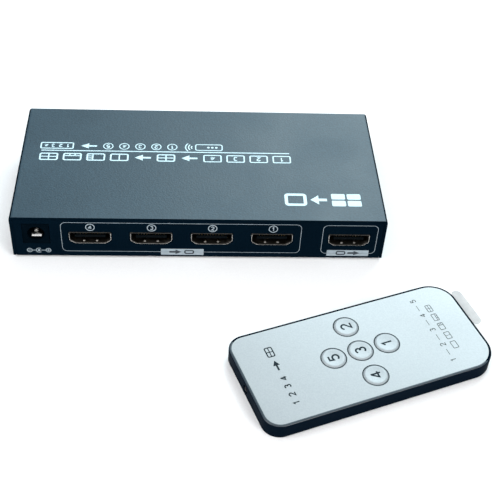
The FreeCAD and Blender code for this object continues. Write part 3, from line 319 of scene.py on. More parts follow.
metal("capacitor_can", (0.7, 0.7, 0.71), (0.78, 0.78, 0.78), 200, (0.2, 0.3), 900, 0.01, (1, 1, 9))
metal(
    "crystal_can", (0.66, 0.66, 0.67), (0.74, 0.74, 0.74), 200, (0.22, 0.32), 900, 0.01, (9, 1, 1),
)
finish("passive_body", (0.34, 0.25, 0.17), (0.42, 0.32, 0.23), 900, (0.4, 0.55), 2400, 0.03)
finish(
    "remote_plastic", (0.0012, 0.0048, 0.0102), (0.0018, 0.0060, 0.0124), 80, (0.34, 0.44), 1500,
    0.05, specular_ior_level=0.004,
)
# A lighter, glossier copy of the remote's black plastic: a painted highlight along the rim on its
# near half.
finish(
    "remote_rim", (0.007, 0.019, 0.030), (0.010, 0.023, 0.036), 80, (0.34, 0.44), 1500, 0.04,
    specular_ior_level=0.6,
)
finish(
    "remote_film", (0.228, 0.254, 0.268), (0.252, 0.278, 0.292), 50, (0.30, 0.36), 2400, 0.02,
    speckle=(0.3, 2000), specular_ior_level=0.83,
)
# A lighter, less glossy copy of the remote's film for the embossed keys: painted light, so that
# their sloping rims fall less dark.
finish(
    "key_film", (0.278, 0.317, 0.337), (0.308, 0.347, 0.367), 50, (0.32, 0.38), 2400, 0.02,
    speckle=(0.3, 2000), specular_ior_level=0.6,
)
metal("dome_steel", (0.66, 0.66, 0.67), (0.74, 0.74, 0.74), 500, (0.22, 0.32), 1500, 0.01)
metal("cell_steel", (0.68, 0.68, 0.69), (0.76, 0.76, 0.76), 200, (0.2, 0.3), 900, 0.01, (9, 1, 1))
finish(
    "tab_film", (0.43, 0.43, 0.43), (0.56, 0.555, 0.55), 350, (0.35, 0.5), 700, 0.06,
    specular_ior_level=0.2, alpha=0.8,
)
finish("white_ink", (0.50, 0.70, 0.76), (0.56, 0.75, 0.81), 700, (0.45, 0.6), 3000, 0.02)
finish(
    "label_ink", (0.30, 0.36, 0.40), (0.35, 0.41, 0.45), 700, (0.5, 0.65), 3000, 0.02,
    specular_ior_level=0.1,
)
finish("dark_ink", (0.012, 0.02, 0.028), (0.02, 0.03, 0.04), 700, (0.45, 0.6), 3000, 0.02)
finish(
    "key_ink", (0.002, 0.008, 0.012), (0.004, 0.013, 0.019), 700, (0.4, 0.55), 3000, 0.01,
    specular_ior_level=0.1,
)
finish(
    "pale_ink", (0.02, 0.026, 0.028), (0.03, 0.036, 0.038), 700, (0.4, 0.55), 3000, 0.01,
    specular_ior_level=0.2,
)
finish(
    "floor_paint", (0.86, 0.87, 0.88), (0.88, 0.885, 0.89), 3, (0.8, 0.9), 300, 0.02,
    specular_ior_level=0.1,
)


# Meshes and pieces

SMOOTH_BELOW = 35


def put_in_scene(name, data):
    thing = bpy.data.objects.new(name, data)
    bpy.context.scene.collection.objects.link(thing)
    return thing


def new_mesh(name, places, faces):
    """A mesh in metres of places in millimetres."""
    mesh = bpy.data.meshes.new(name)
    mesh.from_pydata([tuple(axis * MM for axis in place) for place in places], [], faces)
    mesh.update()
    return mesh


def face_outwards(mesh):
    shape = bmesh.new()
    shape.from_mesh(mesh)
    bmesh.ops.recalc_face_normals(shape, faces=shape.faces)
    shape.to_mesh(mesh)
    shape.free()


def smooth_faces(mesh, below=SMOOTH_BELOW):
    """Smooth shading where faces meet at less than an angle in degrees."""
    mesh.shade_smooth()
    mesh.set_sharp_from_angle(angle=math.radians(below))


def put_on_body(name, mesh, finish_name, body, nodes=()):
    """A piece that rides on a body, in place of CAD nodes where some are given."""
    mesh.materials.append(FINISHES[finish_name])
    piece = put_in_scene(name, mesh)
    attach(piece, body)
    if nodes:
        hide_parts(*nodes)
    return piece


def made_piece(name, shape, finish_name, body, nodes=(), smooth_below=SMOOTH_BELOW):
    """A solid piece of (places, faces) in millimetres."""
    mesh = new_mesh(name, *shape)
    face_outwards(mesh)
    smooth_faces(mesh, smooth_below)
    return put_on_body(name, mesh, finish_name, body, nodes)


def loft(rings, round_to_first=False):
    """Faces between rings of points, capped at both ends or carried round to the first ring."""
    count = len(rings[0])
    places = [place for ring in rings for place in ring]
    faces = []
    for index in range(len(rings) if round_to_first else len(rings) - 1):
        here, there = index * count, (index + 1) % len(rings) * count
        for corner in range(count):
            beside = (corner + 1) % count
            faces.append((here + corner, here + beside, there + beside, there + corner))
    if not round_to_first:
        faces.append(tuple(reversed(range(count))))
        faces.append(tuple(range(len(places) - count, len(places))))
    return places, faces


def join_shapes(shapes):
    """Several (places, faces) shapes as one."""
    places, faces = [], []
    for shape_places, shape_faces in shapes:
        first = len(places)
        places += shape_places
        faces += [tuple(index + first for index in face) for face in shape_faces]
    return places, faces


# The bevel of a strip's upper edges, by its thickness
STRIP_BEVEL = 0.35


def strip(path, half_wide, thick, centre):
    """A folded strip of metal: (along, up, share of its width) at each place of its lower side."""
    rings = []
    for along, up, share in path:
        across = half_wide * share
        edge = thick * STRIP_BEVEL
        section = [
            (-across, 0),
            (-across, thick - edge),
            (edge - across, thick),
            (across - edge, thick),
            (across, thick - edge),
            (across, 0),
        ]
        rings.append([(centre[0] + x, centre[1] + along, centre[2] + up + z) for x, z in section])
    return loft(rings)


# Printed marks

def arc(x, y, radius, start, end, steps=10):
    turns = [math.radians(start + (end - start) * step / steps) for step in range(steps + 1)]
    return [(x + radius * math.cos(turn), y + radius * math.sin(turn)) for turn in turns]


# Strokes of the numerals, for a height of one
NUMERALS = {
    1: [[(-0.22, 0.26), (0.05, 0.5), (0.05, -0.5)]],
    2: [[*arc(0.0, 0.2, 0.3, 165, -30), (-0.3, -0.5), (0.33, -0.5)]],
    3: [arc(0.0, 0.24, 0.26, 150, -90), arc(0.0, -0.22, 0.28, 90, -150)],
    4: [[(0.14, -0.5), (0.14, 0.5)], [(0.14, 0.47), (-0.33, -0.22), (0.36, -0.22)]],
    5: [[(0.29, 0.5), (-0.2, 0.5), (-0.25, 0.08), *arc(0.0, -0.18, 0.32, 110, -145)]],
}


# The least cosine of half a corner's turn that a line's mitre follows, how near two places are
# the same in millimetres, and how often long edges are divided
SHARPEST_MITRE, SAME_PLACE, MOST_DIVISIONS = 0.5, 1e-5, 6


class Artwork:
    """Flat printed shapes in millimetres, later given the thickness of ink and laid on a face."""

    def __init__(self):
        self.points = []
        self.faces = []

    def patch(self, outline):
        first = len(self.points)
        self.points += [tuple(point) for point in outline]
        self.faces.append(tuple(range(first, first + len(outline))))

    def band(self, path, line, closed=False):
        """A line of even width along a path, with mitred corners."""
        first, count = len(self.points), len(path)
        for index, point in enumerate(path):
            here = Vector(point)
            runs = []
            if closed or index:
                runs.append((here - Vector(path[index - 1])).normalized())
            if closed or index < count - 1:
                runs.append((Vector(path[(index + 1) % count]) - here).normalized())
            normals = [Vector((-run.y, run.x)) for run in runs]
            mitre = sum(normals, Vector((0, 0))).normalized()
            reach = line / 2 / max(mitre.dot(normals[0]), SHARPEST_MITRE)
            self.points += [tuple(here - mitre * reach), tuple(here + mitre * reach)]
        for index in range(count if closed else count - 1):
            near, far = first + 2 * index, first + 2 * ((index + 1) % count)
            self.faces.append((near, far, far + 1, near + 1))

    def ring(self, centre, radius, line, steps=48):
        self.band(round_path(centre, radius, steps), line, closed=True)

    def disc(self, centre, radius, steps=32):
        self.patch(round_path(centre, radius, steps))

    def frame_line(self, left, right, low, high, radius, line):
        self.band(rounded_path(left, right, low, high, radius), line, closed=True)

    def plate(self, left, right, low, high, radius):
        self.patch(rounded_path(left, right, low, high, radius))

    def bar(self, left, right, low, high):
        self.patch([(left, low), (right, low), (right, high), (left, high)])

    def arrow(self, left, level, wide, tall, shaft=0.28):
        """A shaft and a head that point to the right."""
        neck = left + wide / 2
        thin = tall * shaft / 2
        self.bar(left, neck, level - thin, level + thin)
        self.patch([(neck, level - tall / 2), (left + wide, level), (neck, level + tall / 2)])

    def number(self, digit, centre, tall, line):
        """A numeral of the given height drawn with strokes of even width, centred on a point."""
        reach = tall - line
        for stroke in NUMERALS[digit]:
            self.band([(centre[0] + x * reach, centre[1] + y * reach) for x, y in stroke], line)

    def refine(self, longest):
        """Divides long edges, so that the marks can follow a crowned face."""
        flat = bmesh.new()
        corners = [flat.verts.new((x, y, 0)) for x, y in self.points]
        for face in self.faces:
            flat.faces.new([corners[index] for index in face])
        bmesh.ops.remove_doubles(flat, verts=flat.verts, dist=SAME_PLACE)
        for _ in range(MOST_DIVISIONS):
            bmesh.ops.triangulate(flat, faces=flat.faces)
            long_edges = [edge for edge in flat.edges if edge.calc_length() > longest]
            if not long_edges:
                break
            bmesh.ops.subdivide_edges(flat, edges=long_edges, cuts=1)
        bmesh.ops.triangulate(flat, faces=flat.faces)
        flat.verts.index_update()
        self.points = [(vertex.co.x, vertex.co.y) for vertex in flat.verts]
        self.faces = []
        for face in flat.faces:
            corners = [vertex.index for vertex in face.verts]
            self.faces.append(tuple(corners if face.normal.z > 0 else reversed(corners)))
        flat.free()

    def lay(self, name, ink, body, origin, right, up, crown=None):
        """Gives the shapes the thickness of ink and lays them on a face of a body.

        The crown is the face's own height at a place, where it isn't flat.
        """
        origin, right, up = Vector(origin), Vector(right), Vector(up)
        out = right.cross(up)
        count = len(self.points)
        places = []
        for level in (-INK_SUNK, INK_THICK):
            for x, y in self.points:
                lift = level + (crown(x, y) if crown else 0.0)
                places.append(origin + right * x + up * y + out * lift)
        sides = {(face[i - 1], face[i]) for face in self.faces for i in range(len(face))}
        solid = [tuple(index + count for index in face) for face in self.faces]
        solid += [tuple(reversed(face)) for face in self.faces]
        for a, b in sorted(sides):
            if (b, a) not in sides:
                solid.append((a, b, b + count, a + count))
        put_on_body(name, new_mesh(name, places, solid), ink, body)


def round_path(centre, radius, steps):
    turns = [2 * math.pi * step / steps for step in range(steps)]
    return [(centre[0] + radius * math.cos(t), centre[1] + radius * math.sin(t)) for t in turns]


def rounded_path(left, right, low, high, radius, steps=6):
    path = []
    for x, y, start in (
        (right - radius, low + radius, 270),
        (right - radius, high - radius, 0),
        (left + radius, high - radius, 90),
        (left + radius, low + radius, 180),
    ):
        for step in range(steps + 1):
            turn = math.radians(start + 90 * step / steps)
            path.append((x + radius * math.cos(turn), y + radius * math.sin(turn)))
    return path


# Sockets and power inlet

SOCKET_WIDE, SOCKET_TALL = 14.0, 4.55
BEVEL_ACROSS, BEVEL_UP, BEVEL_GROW = 1.9, 1.35, 0.4

# The bands of the shell's section that round its mouth, bright but for its upper edge
MOUTH_BANDS = (1, 2, 3)
SHADED_TOP = 0.1

# The latch springs: their path as (along, up, share of the width), half their width and their
# thickness, and how far they are to the side and out from the socket's sole and top
LATCH_SPRING = [
    (1.0, 0.0, 1),
    (1.3, 0.3, 1),
    (1.7, 0.42, 1),
    (2.3, 0.34, 1),
    (4.0, 0.05, 1),
    (6.5, -0.15, 1),
]
LOWER_SPRING = {"half_wide": 0.4, "thick": 0.15}
UPPER_SPRING = {"half_wide": 0.8, "thick": 0.2}
LOWER_SPRING_SIDE, UPPER_SPRING_SIDE = 2.3, 3.6
SPRING_SUNK, SPRING_RAISED = 0.12, 0.04


def socket_ring(centre, grow, depth, corner=0.45, steps=4):
    """The socket's section at a depth: wide above, bevelled below, with rounded folds."""
    half_wide, half_tall = SOCKET_WIDE / 2 + grow, SOCKET_TALL / 2 + grow
    sole = half_wide - BEVEL_ACROSS - grow * BEVEL_GROW
    shoulder = BEVEL_UP - half_tall + grow * BEVEL_GROW
    corners = [
        Vector((-half_wide, half_tall)),
        Vector((-half_wide, shoulder)),
        Vector((-sole, -half_tall)),
        Vector((sole, -half_tall)),
        Vector((half_wide, shoulder)),
        Vector((half_wide, half_tall)),
    ]
    ring = []
    for index, here in enumerate(corners):
        before = (corners[index - 1] - here).normalized() * (corner + grow / 2)
        after = (corners[(index + 1) % 6] - here).normalized() * (corner + grow / 2)
        for step in range(steps + 1):
            share = step / steps
            x, z = here + before * (1 - share) ** 2 + after * share ** 2
            ring.append((centre[0] + x, centre[1] + depth, centre[2] + z))
    return ring


def socket_shell(name, node):
    """A folded shell with a thin rolled mouth and its latch springs."""
    low, high = (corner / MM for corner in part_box(node))
    centre = ((low.x + high.x) / 2, low.y, (low.z + high.z) / 2)
    deep, wall = high.y - low.y, (high.z - low.z - SOCKET_TALL) / 2
    section = [
        (wall, deep),
        (wall, 0.34),
        (wall * 0.85, 0.24),
        (wall * 0.65, 0.2),
        (wall * 0.5, 0.21),
        (wall * 0.2, 0.3),
        (0.0, 0.46),
        (0.0, deep),
    ]
    rings = [socket_ring(centre, grow, depth) for grow, depth in section]
    shapes = [loft(rings, round_to_first=True)]
    level = centre[Z] - SOCKET_TALL / 2 - SPRING_SUNK
    under_top = SOCKET_TALL + SPRING_RAISED
    upper = [(along, under_top - up, share) for along, up, share in LATCH_SPRING]
    for side in (-1, 1):
        place = (centre[X] + side * LOWER_SPRING_SIDE, centre[Y], level)
        shapes.append(strip(LATCH_SPRING, centre=place, **LOWER_SPRING))
        place = (centre[X] + side * UPPER_SPRING_SIDE, centre[Y], level)
        shapes.append(strip(upper, centre=place, **UPPER_SPRING))
    shell = made_piece(name, join_shapes(shapes), "socket_nickel", "box", [node])
    nickel, shade, spring = range(3)
    shell.data.materials.append(FINISHES["socket_shade"])
    shell.data.materials.append(FINISHES["spring_nickel"])
    mouth_top = centre[Z] + SOCKET_TALL / 2 - SHADED_TOP
    shell_faces = len(shapes[0][1])
    for index, face in enumerate(shell.data.polygons):
        lit = index // len(rings[0]) in MOUTH_BANDS and face.center.z < mouth_top * MM
        painted = nickel if lit else shade
        # The springs deep in the socket take the darker nickel: painted shade.
        face.material_index = painted if index < shell_faces else spring


def jack_spring():
    """The leaf under the inlet's pin, bent up towards the mouth."""
    low, high = (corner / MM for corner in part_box("power_jack_blade"))
    centre = ((low.x + high.x) / 2, low.y, low.z)
    path = [
        (0.0, 0.95, 1),
        (0.35, 1.2, 1),
        (0.85, 1.6, 1),
        (1.1, 1.65, 1),
        (1.8, 1.4, 1),
        (4.5, 0.4, 1),
        (high.y - low.y, 0.0, 1),
    ]
    leaf = strip(path, (high.x - low.x) / 2, 0.3, centre)
    made_piece("jack_spring", leaf, "jack_nickel", "box", ["power_jack_blade"])


# Repeated pieces

def piece_rows_tree():
    """Copies of a small piece in rows, each given a slight turn by chance."""
    tree = bpy.data.node_groups.new("piece_rows", "GeometryNodeTree")
    for label, kind in (
        ("Piece", "NodeSocketObject"),
        ("First", "NodeSocketVector"),
        ("Count", "NodeSocketInt"),
        ("Step", "NodeSocketVector"),
        ("Rows", "NodeSocketInt"),
        ("Row Step", "NodeSocketVector"),
        ("Turn", "NodeSocketVector"),
        ("Chance Turn", "NodeSocketVector"),
        ("Seed", "NodeSocketInt"),
        ("Finish", "NodeSocketMaterial"),
    ):
        tree.interface.new_socket(name=label, in_out="INPUT", socket_type=kind)
    tree.interface.new_socket(name="Geometry", in_out="OUTPUT", socket_type="NodeSocketGeometry")
    nodes, links = tree.nodes, tree.links
    start, end = nodes.new("NodeGroupInput"), nodes.new("NodeGroupOutput")
    row, rows = nodes.new("GeometryNodeMeshLine"), nodes.new("GeometryNodeMeshLine")
    spread = nodes.new("GeometryNodeInstanceOnPoints")
    places = nodes.new("GeometryNodeRealizeInstances")
    piece = nodes.new("GeometryNodeObjectInfo")
    chance = nodes.new("FunctionNodeRandomValue")
    chance.data_type = "FLOAT_VECTOR"
    opposite = nodes.new("ShaderNodeVectorMath")
    opposite.operation = "SCALE"
    opposite.inputs["Scale"].default_value = -1.0
    turn = nodes.new("ShaderNodeVectorMath")
    copies = nodes.new("GeometryNodeInstanceOnPoints")
    solid = nodes.new("GeometryNodeRealizeInstances")
    painted = nodes.new("GeometryNodeSetMaterial")
    for source, target in (
        (start.outputs["Count"], row.inputs["Count"]),
        (start.outputs["Step"], row.inputs["Offset"]),
        (start.outputs["Rows"], rows.inputs["Count"]),
        (start.outputs["First"], rows.inputs["Start Location"]),
        (start.outputs["Row Step"], rows.inputs["Offset"]),
        (rows.outputs["Mesh"], spread.inputs["Points"]),
        (row.outputs["Mesh"], spread.inputs["Instance"]),
        (spread.outputs["Instances"], places.inputs["Geometry"]),
        (start.outputs["Piece"], piece.inputs["Object"]),
        (start.outputs["Chance Turn"], opposite.inputs[0]),
        (opposite.outputs["Vector"], chance.inputs["Min"]),
        (start.outputs["Chance Turn"], chance.inputs["Max"]),
        (start.outputs["Seed"], chance.inputs["Seed"]),
        (start.outputs["Turn"], turn.inputs[0]),
        (chance.outputs["Value"], turn.inputs[1]),
        (places.outputs["Geometry"], copies.inputs["Points"]),
        (piece.outputs["Geometry"], copies.inputs["Instance"]),
        (turn.outputs["Vector"], copies.inputs["Rotation"]),
        (copies.outputs["Instances"], solid.inputs["Geometry"]),
        (solid.outputs["Geometry"], painted.inputs["Geometry"]),
        (start.outputs["Finish"], painted.inputs["Material"]),
        (painted.outputs["Geometry"], end.inputs["Geometry"]),
    ):
        links.new(source, target)
    return tree


PIECE_ROWS = piece_rows_tree()
CHANCE_SEED = 7


def rows_of(
    shape, finish_name, first, count, step,
    rows=1, row_step=(0, 0, 0), turn=(0, 0, 0), chance=(0, 0, 0),
):
    """The plain mesh of a piece repeated in rows. Places and steps are in millimetres."""
    mesh = new_mesh("repeated", *shape)
    face_outwards(mesh)
    piece = put_in_scene("repeated", mesh)
    holder = put_in_scene("rows", bpy.data.meshes.new("rows"))
    modifier = holder.modifiers.new("rows", "NODES")
    modifier.node_group = PIECE_ROWS
    values = {
        "Piece": piece,
        "First": [axis * MM for axis in first],
        "Count": count,
        "Step": [axis * MM for axis in step],
        "Rows": rows,
        "Row Step": [axis * MM for axis in row_step],
        "Turn": turn,
        "Chance Turn": chance,
        "Seed": CHANCE_SEED,
        "Finish": FINISHES[finish_name],
    }
    for item in PIECE_ROWS.interface.items_tree:
        if item.in_out == "INPUT":
            modifier[item.identifier] = values[item.name]
    bpy.context.view_layer.update()
    seen = holder.evaluated_get(bpy.context.evaluated_depsgraph_get())
    result = bpy.data.meshes.new_from_object(seen)
    for thing in (piece, holder):
        bpy.data.objects.remove(thing)
    return result


def bake(name, meshes, finish_name, body, nodes=()):
    """Joins repeated meshes into one piece on a body."""
    joined = bmesh.new()
    for mesh in meshes:
        joined.from_mesh(mesh)
        bpy.data.meshes.remove(mesh)
    mesh = bpy.data.meshes.new(name)
    joined.to_mesh(mesh)
    joined.free()
    for face in mesh.polygons:
        face.material_index = 0
    smooth_faces(mesh)
    put_on_body(name, mesh, finish_name, body, nodes)


def contact_fingers():
    """Ten contacts over and nine under every socket's tongue, with tapered tips."""
    names = [f"input_{number}_contacts" for number in (4, 3, 2, 1)] + ["output_contacts"]
    low, high = (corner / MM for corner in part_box(names[0]))
    thick, half, pitch, slight_turn = 0.12, 0.225, 1.0, 0.004
    path = [(0.0, 0.0, 0.4), (0.12, 0.0, 0.75), (0.35, 0.0, 1), (high.y - low.y, 0.0, 1)]
    finger = strip(path, half, thick, (0, 0, 0))
    apart = middle(names[1], X) - middle(names[0], X)
    meshes = []
    for node, rows in ((names[0], 4), (names[4], 1)):
        centre = middle(node, X)
        for count, level, turn in ((10, high.z - thick, 0.0), (9, low.z + thick, math.pi)):
            across = pitch if turn == 0.0 else -pitch
            first = (centre - across * (count - 1) / 2, low.y, level)
            row = (first, count, (across, 0, 0), rows, (apart, 0, 0))
            turns = {"turn": (0, turn, 0), "chance": (0, 0, slight_turn)}
            meshes.append(rows_of(finger, "contact_gold", *row, **turns))
    bake("contact_fingers", meshes, "contact_gold", "box", names)


# How near two corners of a CAD mesh are the same, in metres
SAME_CORNER = 1e-6


def parts_of(node):
    """The box of each separate part of a CAD node, in millimetres."""
    shape = bmesh.new()
    shape.from_mesh(frame["nodes"][node].data)
    bmesh.ops.remove_doubles(shape, verts=shape.verts, dist=SAME_CORNER)
    left, boxes = set(shape.verts), []
    while left:
        group, edge = set(), {left.pop()}
        while edge:
            group |= edge
            beside = {link.other_vert(vertex) for vertex in edge for link in vertex.link_edges}
            edge = beside - group
        left -= group
        places = [vertex.co / MM for vertex in group]
        boxes.append([(min(along), max(along)) for along in zip(*places)])
    shape.free()
    return sorted(boxes)


def chip_legs():
    """Gull-wing legs along two sides of the chips on the board."""
    thick, half, pitch, reach, rise, slight_turn = 0.1, 0.13, 0.65, 0.8, 0.45, 0.01
    path = [
        (0.0, rise, 1),
        (reach * 0.35, rise, 1),
        (reach * 0.5, rise * 0.75, 1),
        (reach * 0.6, rise * 0.2, 1),
        (reach * 0.75, 0.0, 1),
        (reach, 0.0, 1),
    ]
    leg = strip(path, half, thick, (0, 0, 0))
    meshes = []
    for node in ("memory_chips", "equaliser_chips", "control_chip"):
        for (left, right), (near, far), (level, _) in parts_of(node):
            count = int((right - left - pitch) / pitch)
            first_x = (left + right) / 2 - pitch * (count - 1) / 2
            for edge, turn in ((far, 0.0), (near, math.pi)):
                row = ((first_x, edge, level), count, (pitch, 0, 0))
                turns = {"turn": (0, 0, turn), "chance": (0, 0, slight_turn)}
                meshes.append(rows_of(leg, "screw_zinc", *row, **turns))
    bake("chip_legs", meshes, "screw_zinc", "box")


# What is printed on the case

# A pane line's width over its screen's outline
PANE_SHARE = 0.8

# Lines that divide a screen, by shares of its width and height
LAYOUTS = [
    [(0.5, 0.12, 0.5, 0.88)],
    [(0.66, 0.12, 0.66, 0.88), (0.7, 0.37, 0.92, 0.37), (0.7, 0.64, 0.92, 0.64)],
    [(0.08, 0.36, 0.92, 0.36), (0.36, 0.12, 0.36, 0.32), (0.64, 0.12, 0.64, 0.32)],
    [(0.5, 0.12, 0.5, 0.88), (0.08, 0.5, 0.46, 0.5), (0.54, 0.5, 0.92, 0.5)],
]
FOUR_PANES = LAYOUTS[3]


def screen(art, left, low, wide, tall, line, panes=()):
    """A small screen outline, with lines that divide it into panes."""
    edge = line / 2
    art.frame_line(left + edge, left + wide - edge, low + edge, low + tall - edge, line, line)
    for x0, y0, x1, y1 in panes:
        ends = [(left + wide * x, low + tall * y) for x, y in ((x0, y0), (x1, y1))]
        art.band(ends, line * PANE_SHARE)


def cover_print():
    """White marks on the top, which read from the control side."""
    art = Artwork()

    # Four numbered screens, one of four panes, and four ways to divide one
    tall, wide, pitch = 4.3, 6.9, 8.66
    left, low = -34.1, -4.3
    level = low + tall / 2
    for index in range(4):
        place = left + pitch * index
        screen(art, place, low, wide, tall, 0.5)
        art.number(index + 1, (place + wide / 2, level), 2.4, 0.45)
    for column in (4, 6):
        art.arrow(left + pitch * column + 0.4, level, 6.0, 3.4)
    for column, panes in zip((5, 7, 8, 9, 10), (FOUR_PANES, *LAYOUTS)):
        screen(art, left + pitch * column, low, wide, tall, 0.6, panes)

    art.bar(-33.7, 59.0, -6.05, -5.55)

    # A remote control with its rays, five keys, and a screen with four numbers
    low, tall = -10.7, 3.9
    level = low + tall / 2
    art.frame_line(-8.4, 1.6, low + 0.2, low + tall - 0.2, 0.8, 0.4)
    for x in (-6.2, -4.7, -3.2):
        art.disc((x, level), 0.5)
    for radius in (1.2, 2.3, 3.4):
        art.band(arc(2.0, level, radius, -42, 42, 6), 0.45)
    for index in range(5):
        centre = (10.4 + 6.0 * index, level)
        art.ring(centre, 1.75, 0.36)
        art.number(index + 1, centre, 2.1, 0.4)
    art.arrow(38.6, level, 6.0, 3.0)
    screen(art, 47.2, low, 12.4, tall, 0.5)
    for index in range(4):
        art.number(index + 1, (49.4 + 2.7 * index, level), 2.0, 0.4)

    # Four full panes that become one screen
    low, tall = 17.3, 6.7
    pane_wide, pane_tall, gap = 5.0, 3.0, 0.7
    for column in range(2):
        for row in range(2):
            x = -58.0 + column * (pane_wide + gap)
            y = low + row * (pane_tall + gap)
            art.plate(x, x + pane_wide, y, y + pane_tall, 0.5)
    art.arrow(-45.6, low + tall / 2, 6.0, 5.0)
    art.frame_line(-37.7, -30.9, low + 0.6, low + tall - 0.6, 0.8, 1.2)
    art.lay("cover_print", "white_ink", "box", (0, 0, CASE_TOP), (-1, 0, 0), (0, -1, 0))


def port_print():
    """White outlines and circled numbers round the sockets."""
    art = Artwork()
    round_corner, thin = 1.8, 0.145
    art.frame_line(-48.85, 35.95, 1.8, 15.45, round_corner, thin)
    art.frame_line(43.75, 63.45, 1.72, 15.29, round_corner, thin)
    for number, x in PORT_PLACES.items():
        centre = (x + 0.2, 13.3)
        art.ring(centre, 1.5, 0.28)
        art.number(number, centre, 1.85, 0.34)
    art.plate(-13.9, 1.4, 0.3, 3.24, 0.15)
    art.plate(46.0, 61.3, 0.5, 3.3, 0.15)

    # The inlet's poles: a minus, an open ring round a dot for the pin, and a plus
    centre, level, line = JACK_PLACE + 0.45, 2.05, 0.26
    pole, sign = 3.3, 0.45
    for side in (-1, 1):
        x = centre + pole * side
        art.ring((x, level), 0.85, line)
        art.bar(x - sign, x + sign, level - line / 2, level + line / 2)
        lead = sorted((centre + 0.75 * side, centre + 2.4 * side))
        art.bar(*lead, level - line / 2, level + line / 2)
    for low, high in ((-sign, -line / 2), (line / 2, sign)):
        x = centre + pole
        art.bar(x - line / 2, x + line / 2, level + low, level + high)
    art.disc((centre, level), 0.45)
    art.band(arc(centre, level, 1.0, 50, 310, 20), line)
    face = (0, PORT_FACE, PRINT_LEVEL)
    art.lay("port_print", "label_ink", "box", face, (1, 0, 0), (0, 0, 1))

    # Dark marks on the two plates: into the box, and out of it
    marks = Artwork()
    marks.arrow(-10.9, 1.77, 4.4, 2.2, shaft=0.4)
    screen(marks, -5.6, 0.75, 3.6, 2.04, 0.55)
    screen(marks, 49.3, 0.88, 3.6, 2.04, 0.55)
    marks.arrow(53.6, 1.9, 4.4, 2.2, shaft=0.4)
    face = (0, PORT_FACE - INK_THICK, PRINT_LEVEL)
    marks.lay("port_label_marks", "dark_ink", "box", face, (1, 0, 0), (0, 0, 1))


def control_print():
    """Plain marks beside the lamps, the button and the infrared window."""
    art = Artwork()
    for index, x in enumerate(LAMP_PLACES[:4]):
        art.number(index + 1, (-x, 11.2), 1.9, 0.3)
    screen(art, -LAMP_PLACES[4] - 1.6, 10.2, 3.2, 2.1, 0.25, FOUR_PANES)

    # An open ring with an arrow's head, for the button that steps through the inputs
    x, z = -BUTTON_PLACE, 13.6
    art.band(arc(x, z, 1.0, 120, -180, 24), 0.28)
    art.patch([(x - 1.35, z + 0.3), (x - 0.35, z + 0.85), (x - 0.75, z + 1.5)])
    for radius in (0.6, 1.2, 1.8):
        art.band(arc(-EYE_PLACE, 13.4, radius, 45, 135, 6), 0.26)
    face = (0, CONTROL_FACE, PRINT_LEVEL)
    art.lay("control_print", "white_ink", "box", face, (-1, 0, 0), (0, 0, 1))


# Remote control

def key_place(number):
    """A key's middle, to the right and up on the face of the remote control."""
    apart = Vector((*KEY_MIDDLES[number], 0)) - Vector((*REMOTE_PLACE, 0))
    return apart.dot(ACROSS), -apart.dot(ALONG)


def key_swell(radius):
    """The height of a key over the film: a sloping rim round a shallow dish."""
    rise = KEY_TOP - FILM_TOP
    if radius < KEY_FLAT:
        return rise * (1 - KEY_DISH + KEY_DISH * (radius / KEY_FLAT) ** 2)
    share = (KEY_RADIUS - radius) / (KEY_RADIUS - KEY_FLAT)
    return rise * share * share * (3 - 2 * share)


def turned_solid(centre, profile, steps):
    """A solid round about an upright line, from its (radius, level) profile."""
    rings = []
    for radius, level in profile:
        rings.append([(x, y, level) for x, y in round_path(centre, radius, steps)])
    return loft(rings)


def key_cap(number, steps=64):
    """An embossed key with its stem."""
    skirt = FILM_TOP - KEY_SKIRT
    profile = [(KEY_STEM, KEY_LOW), (KEY_STEM, skirt), (KEY_RADIUS, skirt)]
    radii = [KEY_RADIUS - KEY_SLOPE * step / 8 for step in range(9)]
    radii += [KEY_FLAT * (1 - step / 7) for step in range(1, 7)]
    profile += [(radius, FILM_TOP + key_swell(radius)) for radius in radii]
    solid = turned_solid(KEY_MIDDLES[number], profile, steps)
    made_piece(f"key_{number}_cap", solid, "key_film", f"key_{number}", [KEYS[number]], 40)


def snap_dome(number, steps=48):
    """The thin steel dome below a key, at rest; the real dome is pressed nearly flat when the key
    goes down.
    """
    low, high = span("remote_key_domes", Z)
    profile = [(DOME_RADIUS, low), (DOME_RADIUS, low + DOME_RIM)]
    for step in range(1, 8):
        share = 1 - step / 8
        profile.append((DOME_RADIUS * share, high - (high - low - DOME_RIM) * share * share))
    x, y = KEY_MIDDLES[number]
    solid = turned_solid((x, y), profile, steps)
    dome = made_piece(f"snap_dome_{number}", solid, "dome_steel", "remote", ["remote_key_domes"])
    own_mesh(dome)


def pull_tab():
    """The clear strip under the cell, with a wider, rounded end to pull it by."""
    corners = [vertex.co / MM for vertex in frame["nodes"]["isolation_tab"].data.vertices]
    alongs, acrosses = ([corner.dot(way) for corner in corners] for way in (ALONG, ACROSS))
    side, inner = max(acrosses), min(alongs)
    middle_of_grip = max(alongs) - GRIP_BACK
    outline = [
        (inner, side - STRIP_SIDES[1]),
        (middle_of_grip - GRIP_ROUND, side - STRIP_SIDES[1]),
        *arc(middle_of_grip, side - GRIP_LONG + GRIP_ROUND, GRIP_ROUND, 180, 360),
        *arc(middle_of_grip, side - GRIP_ROUND, GRIP_ROUND, 0, 180),
        (middle_of_grip - GRIP_ROUND, side - STRIP_SIDES[0]),
        (inner, side - STRIP_SIDES[0]),
    ]
    places = [ALONG * along + ACROSS * across for along, across in outline]
    levels = span("isolation_tab", Z)
    rings = [[(place.x, place.y, level) for place in places] for level in levels]
    made_piece("pull_tab", loft(rings), "tab_film", "isolation_tab", ["isolation_tab"])


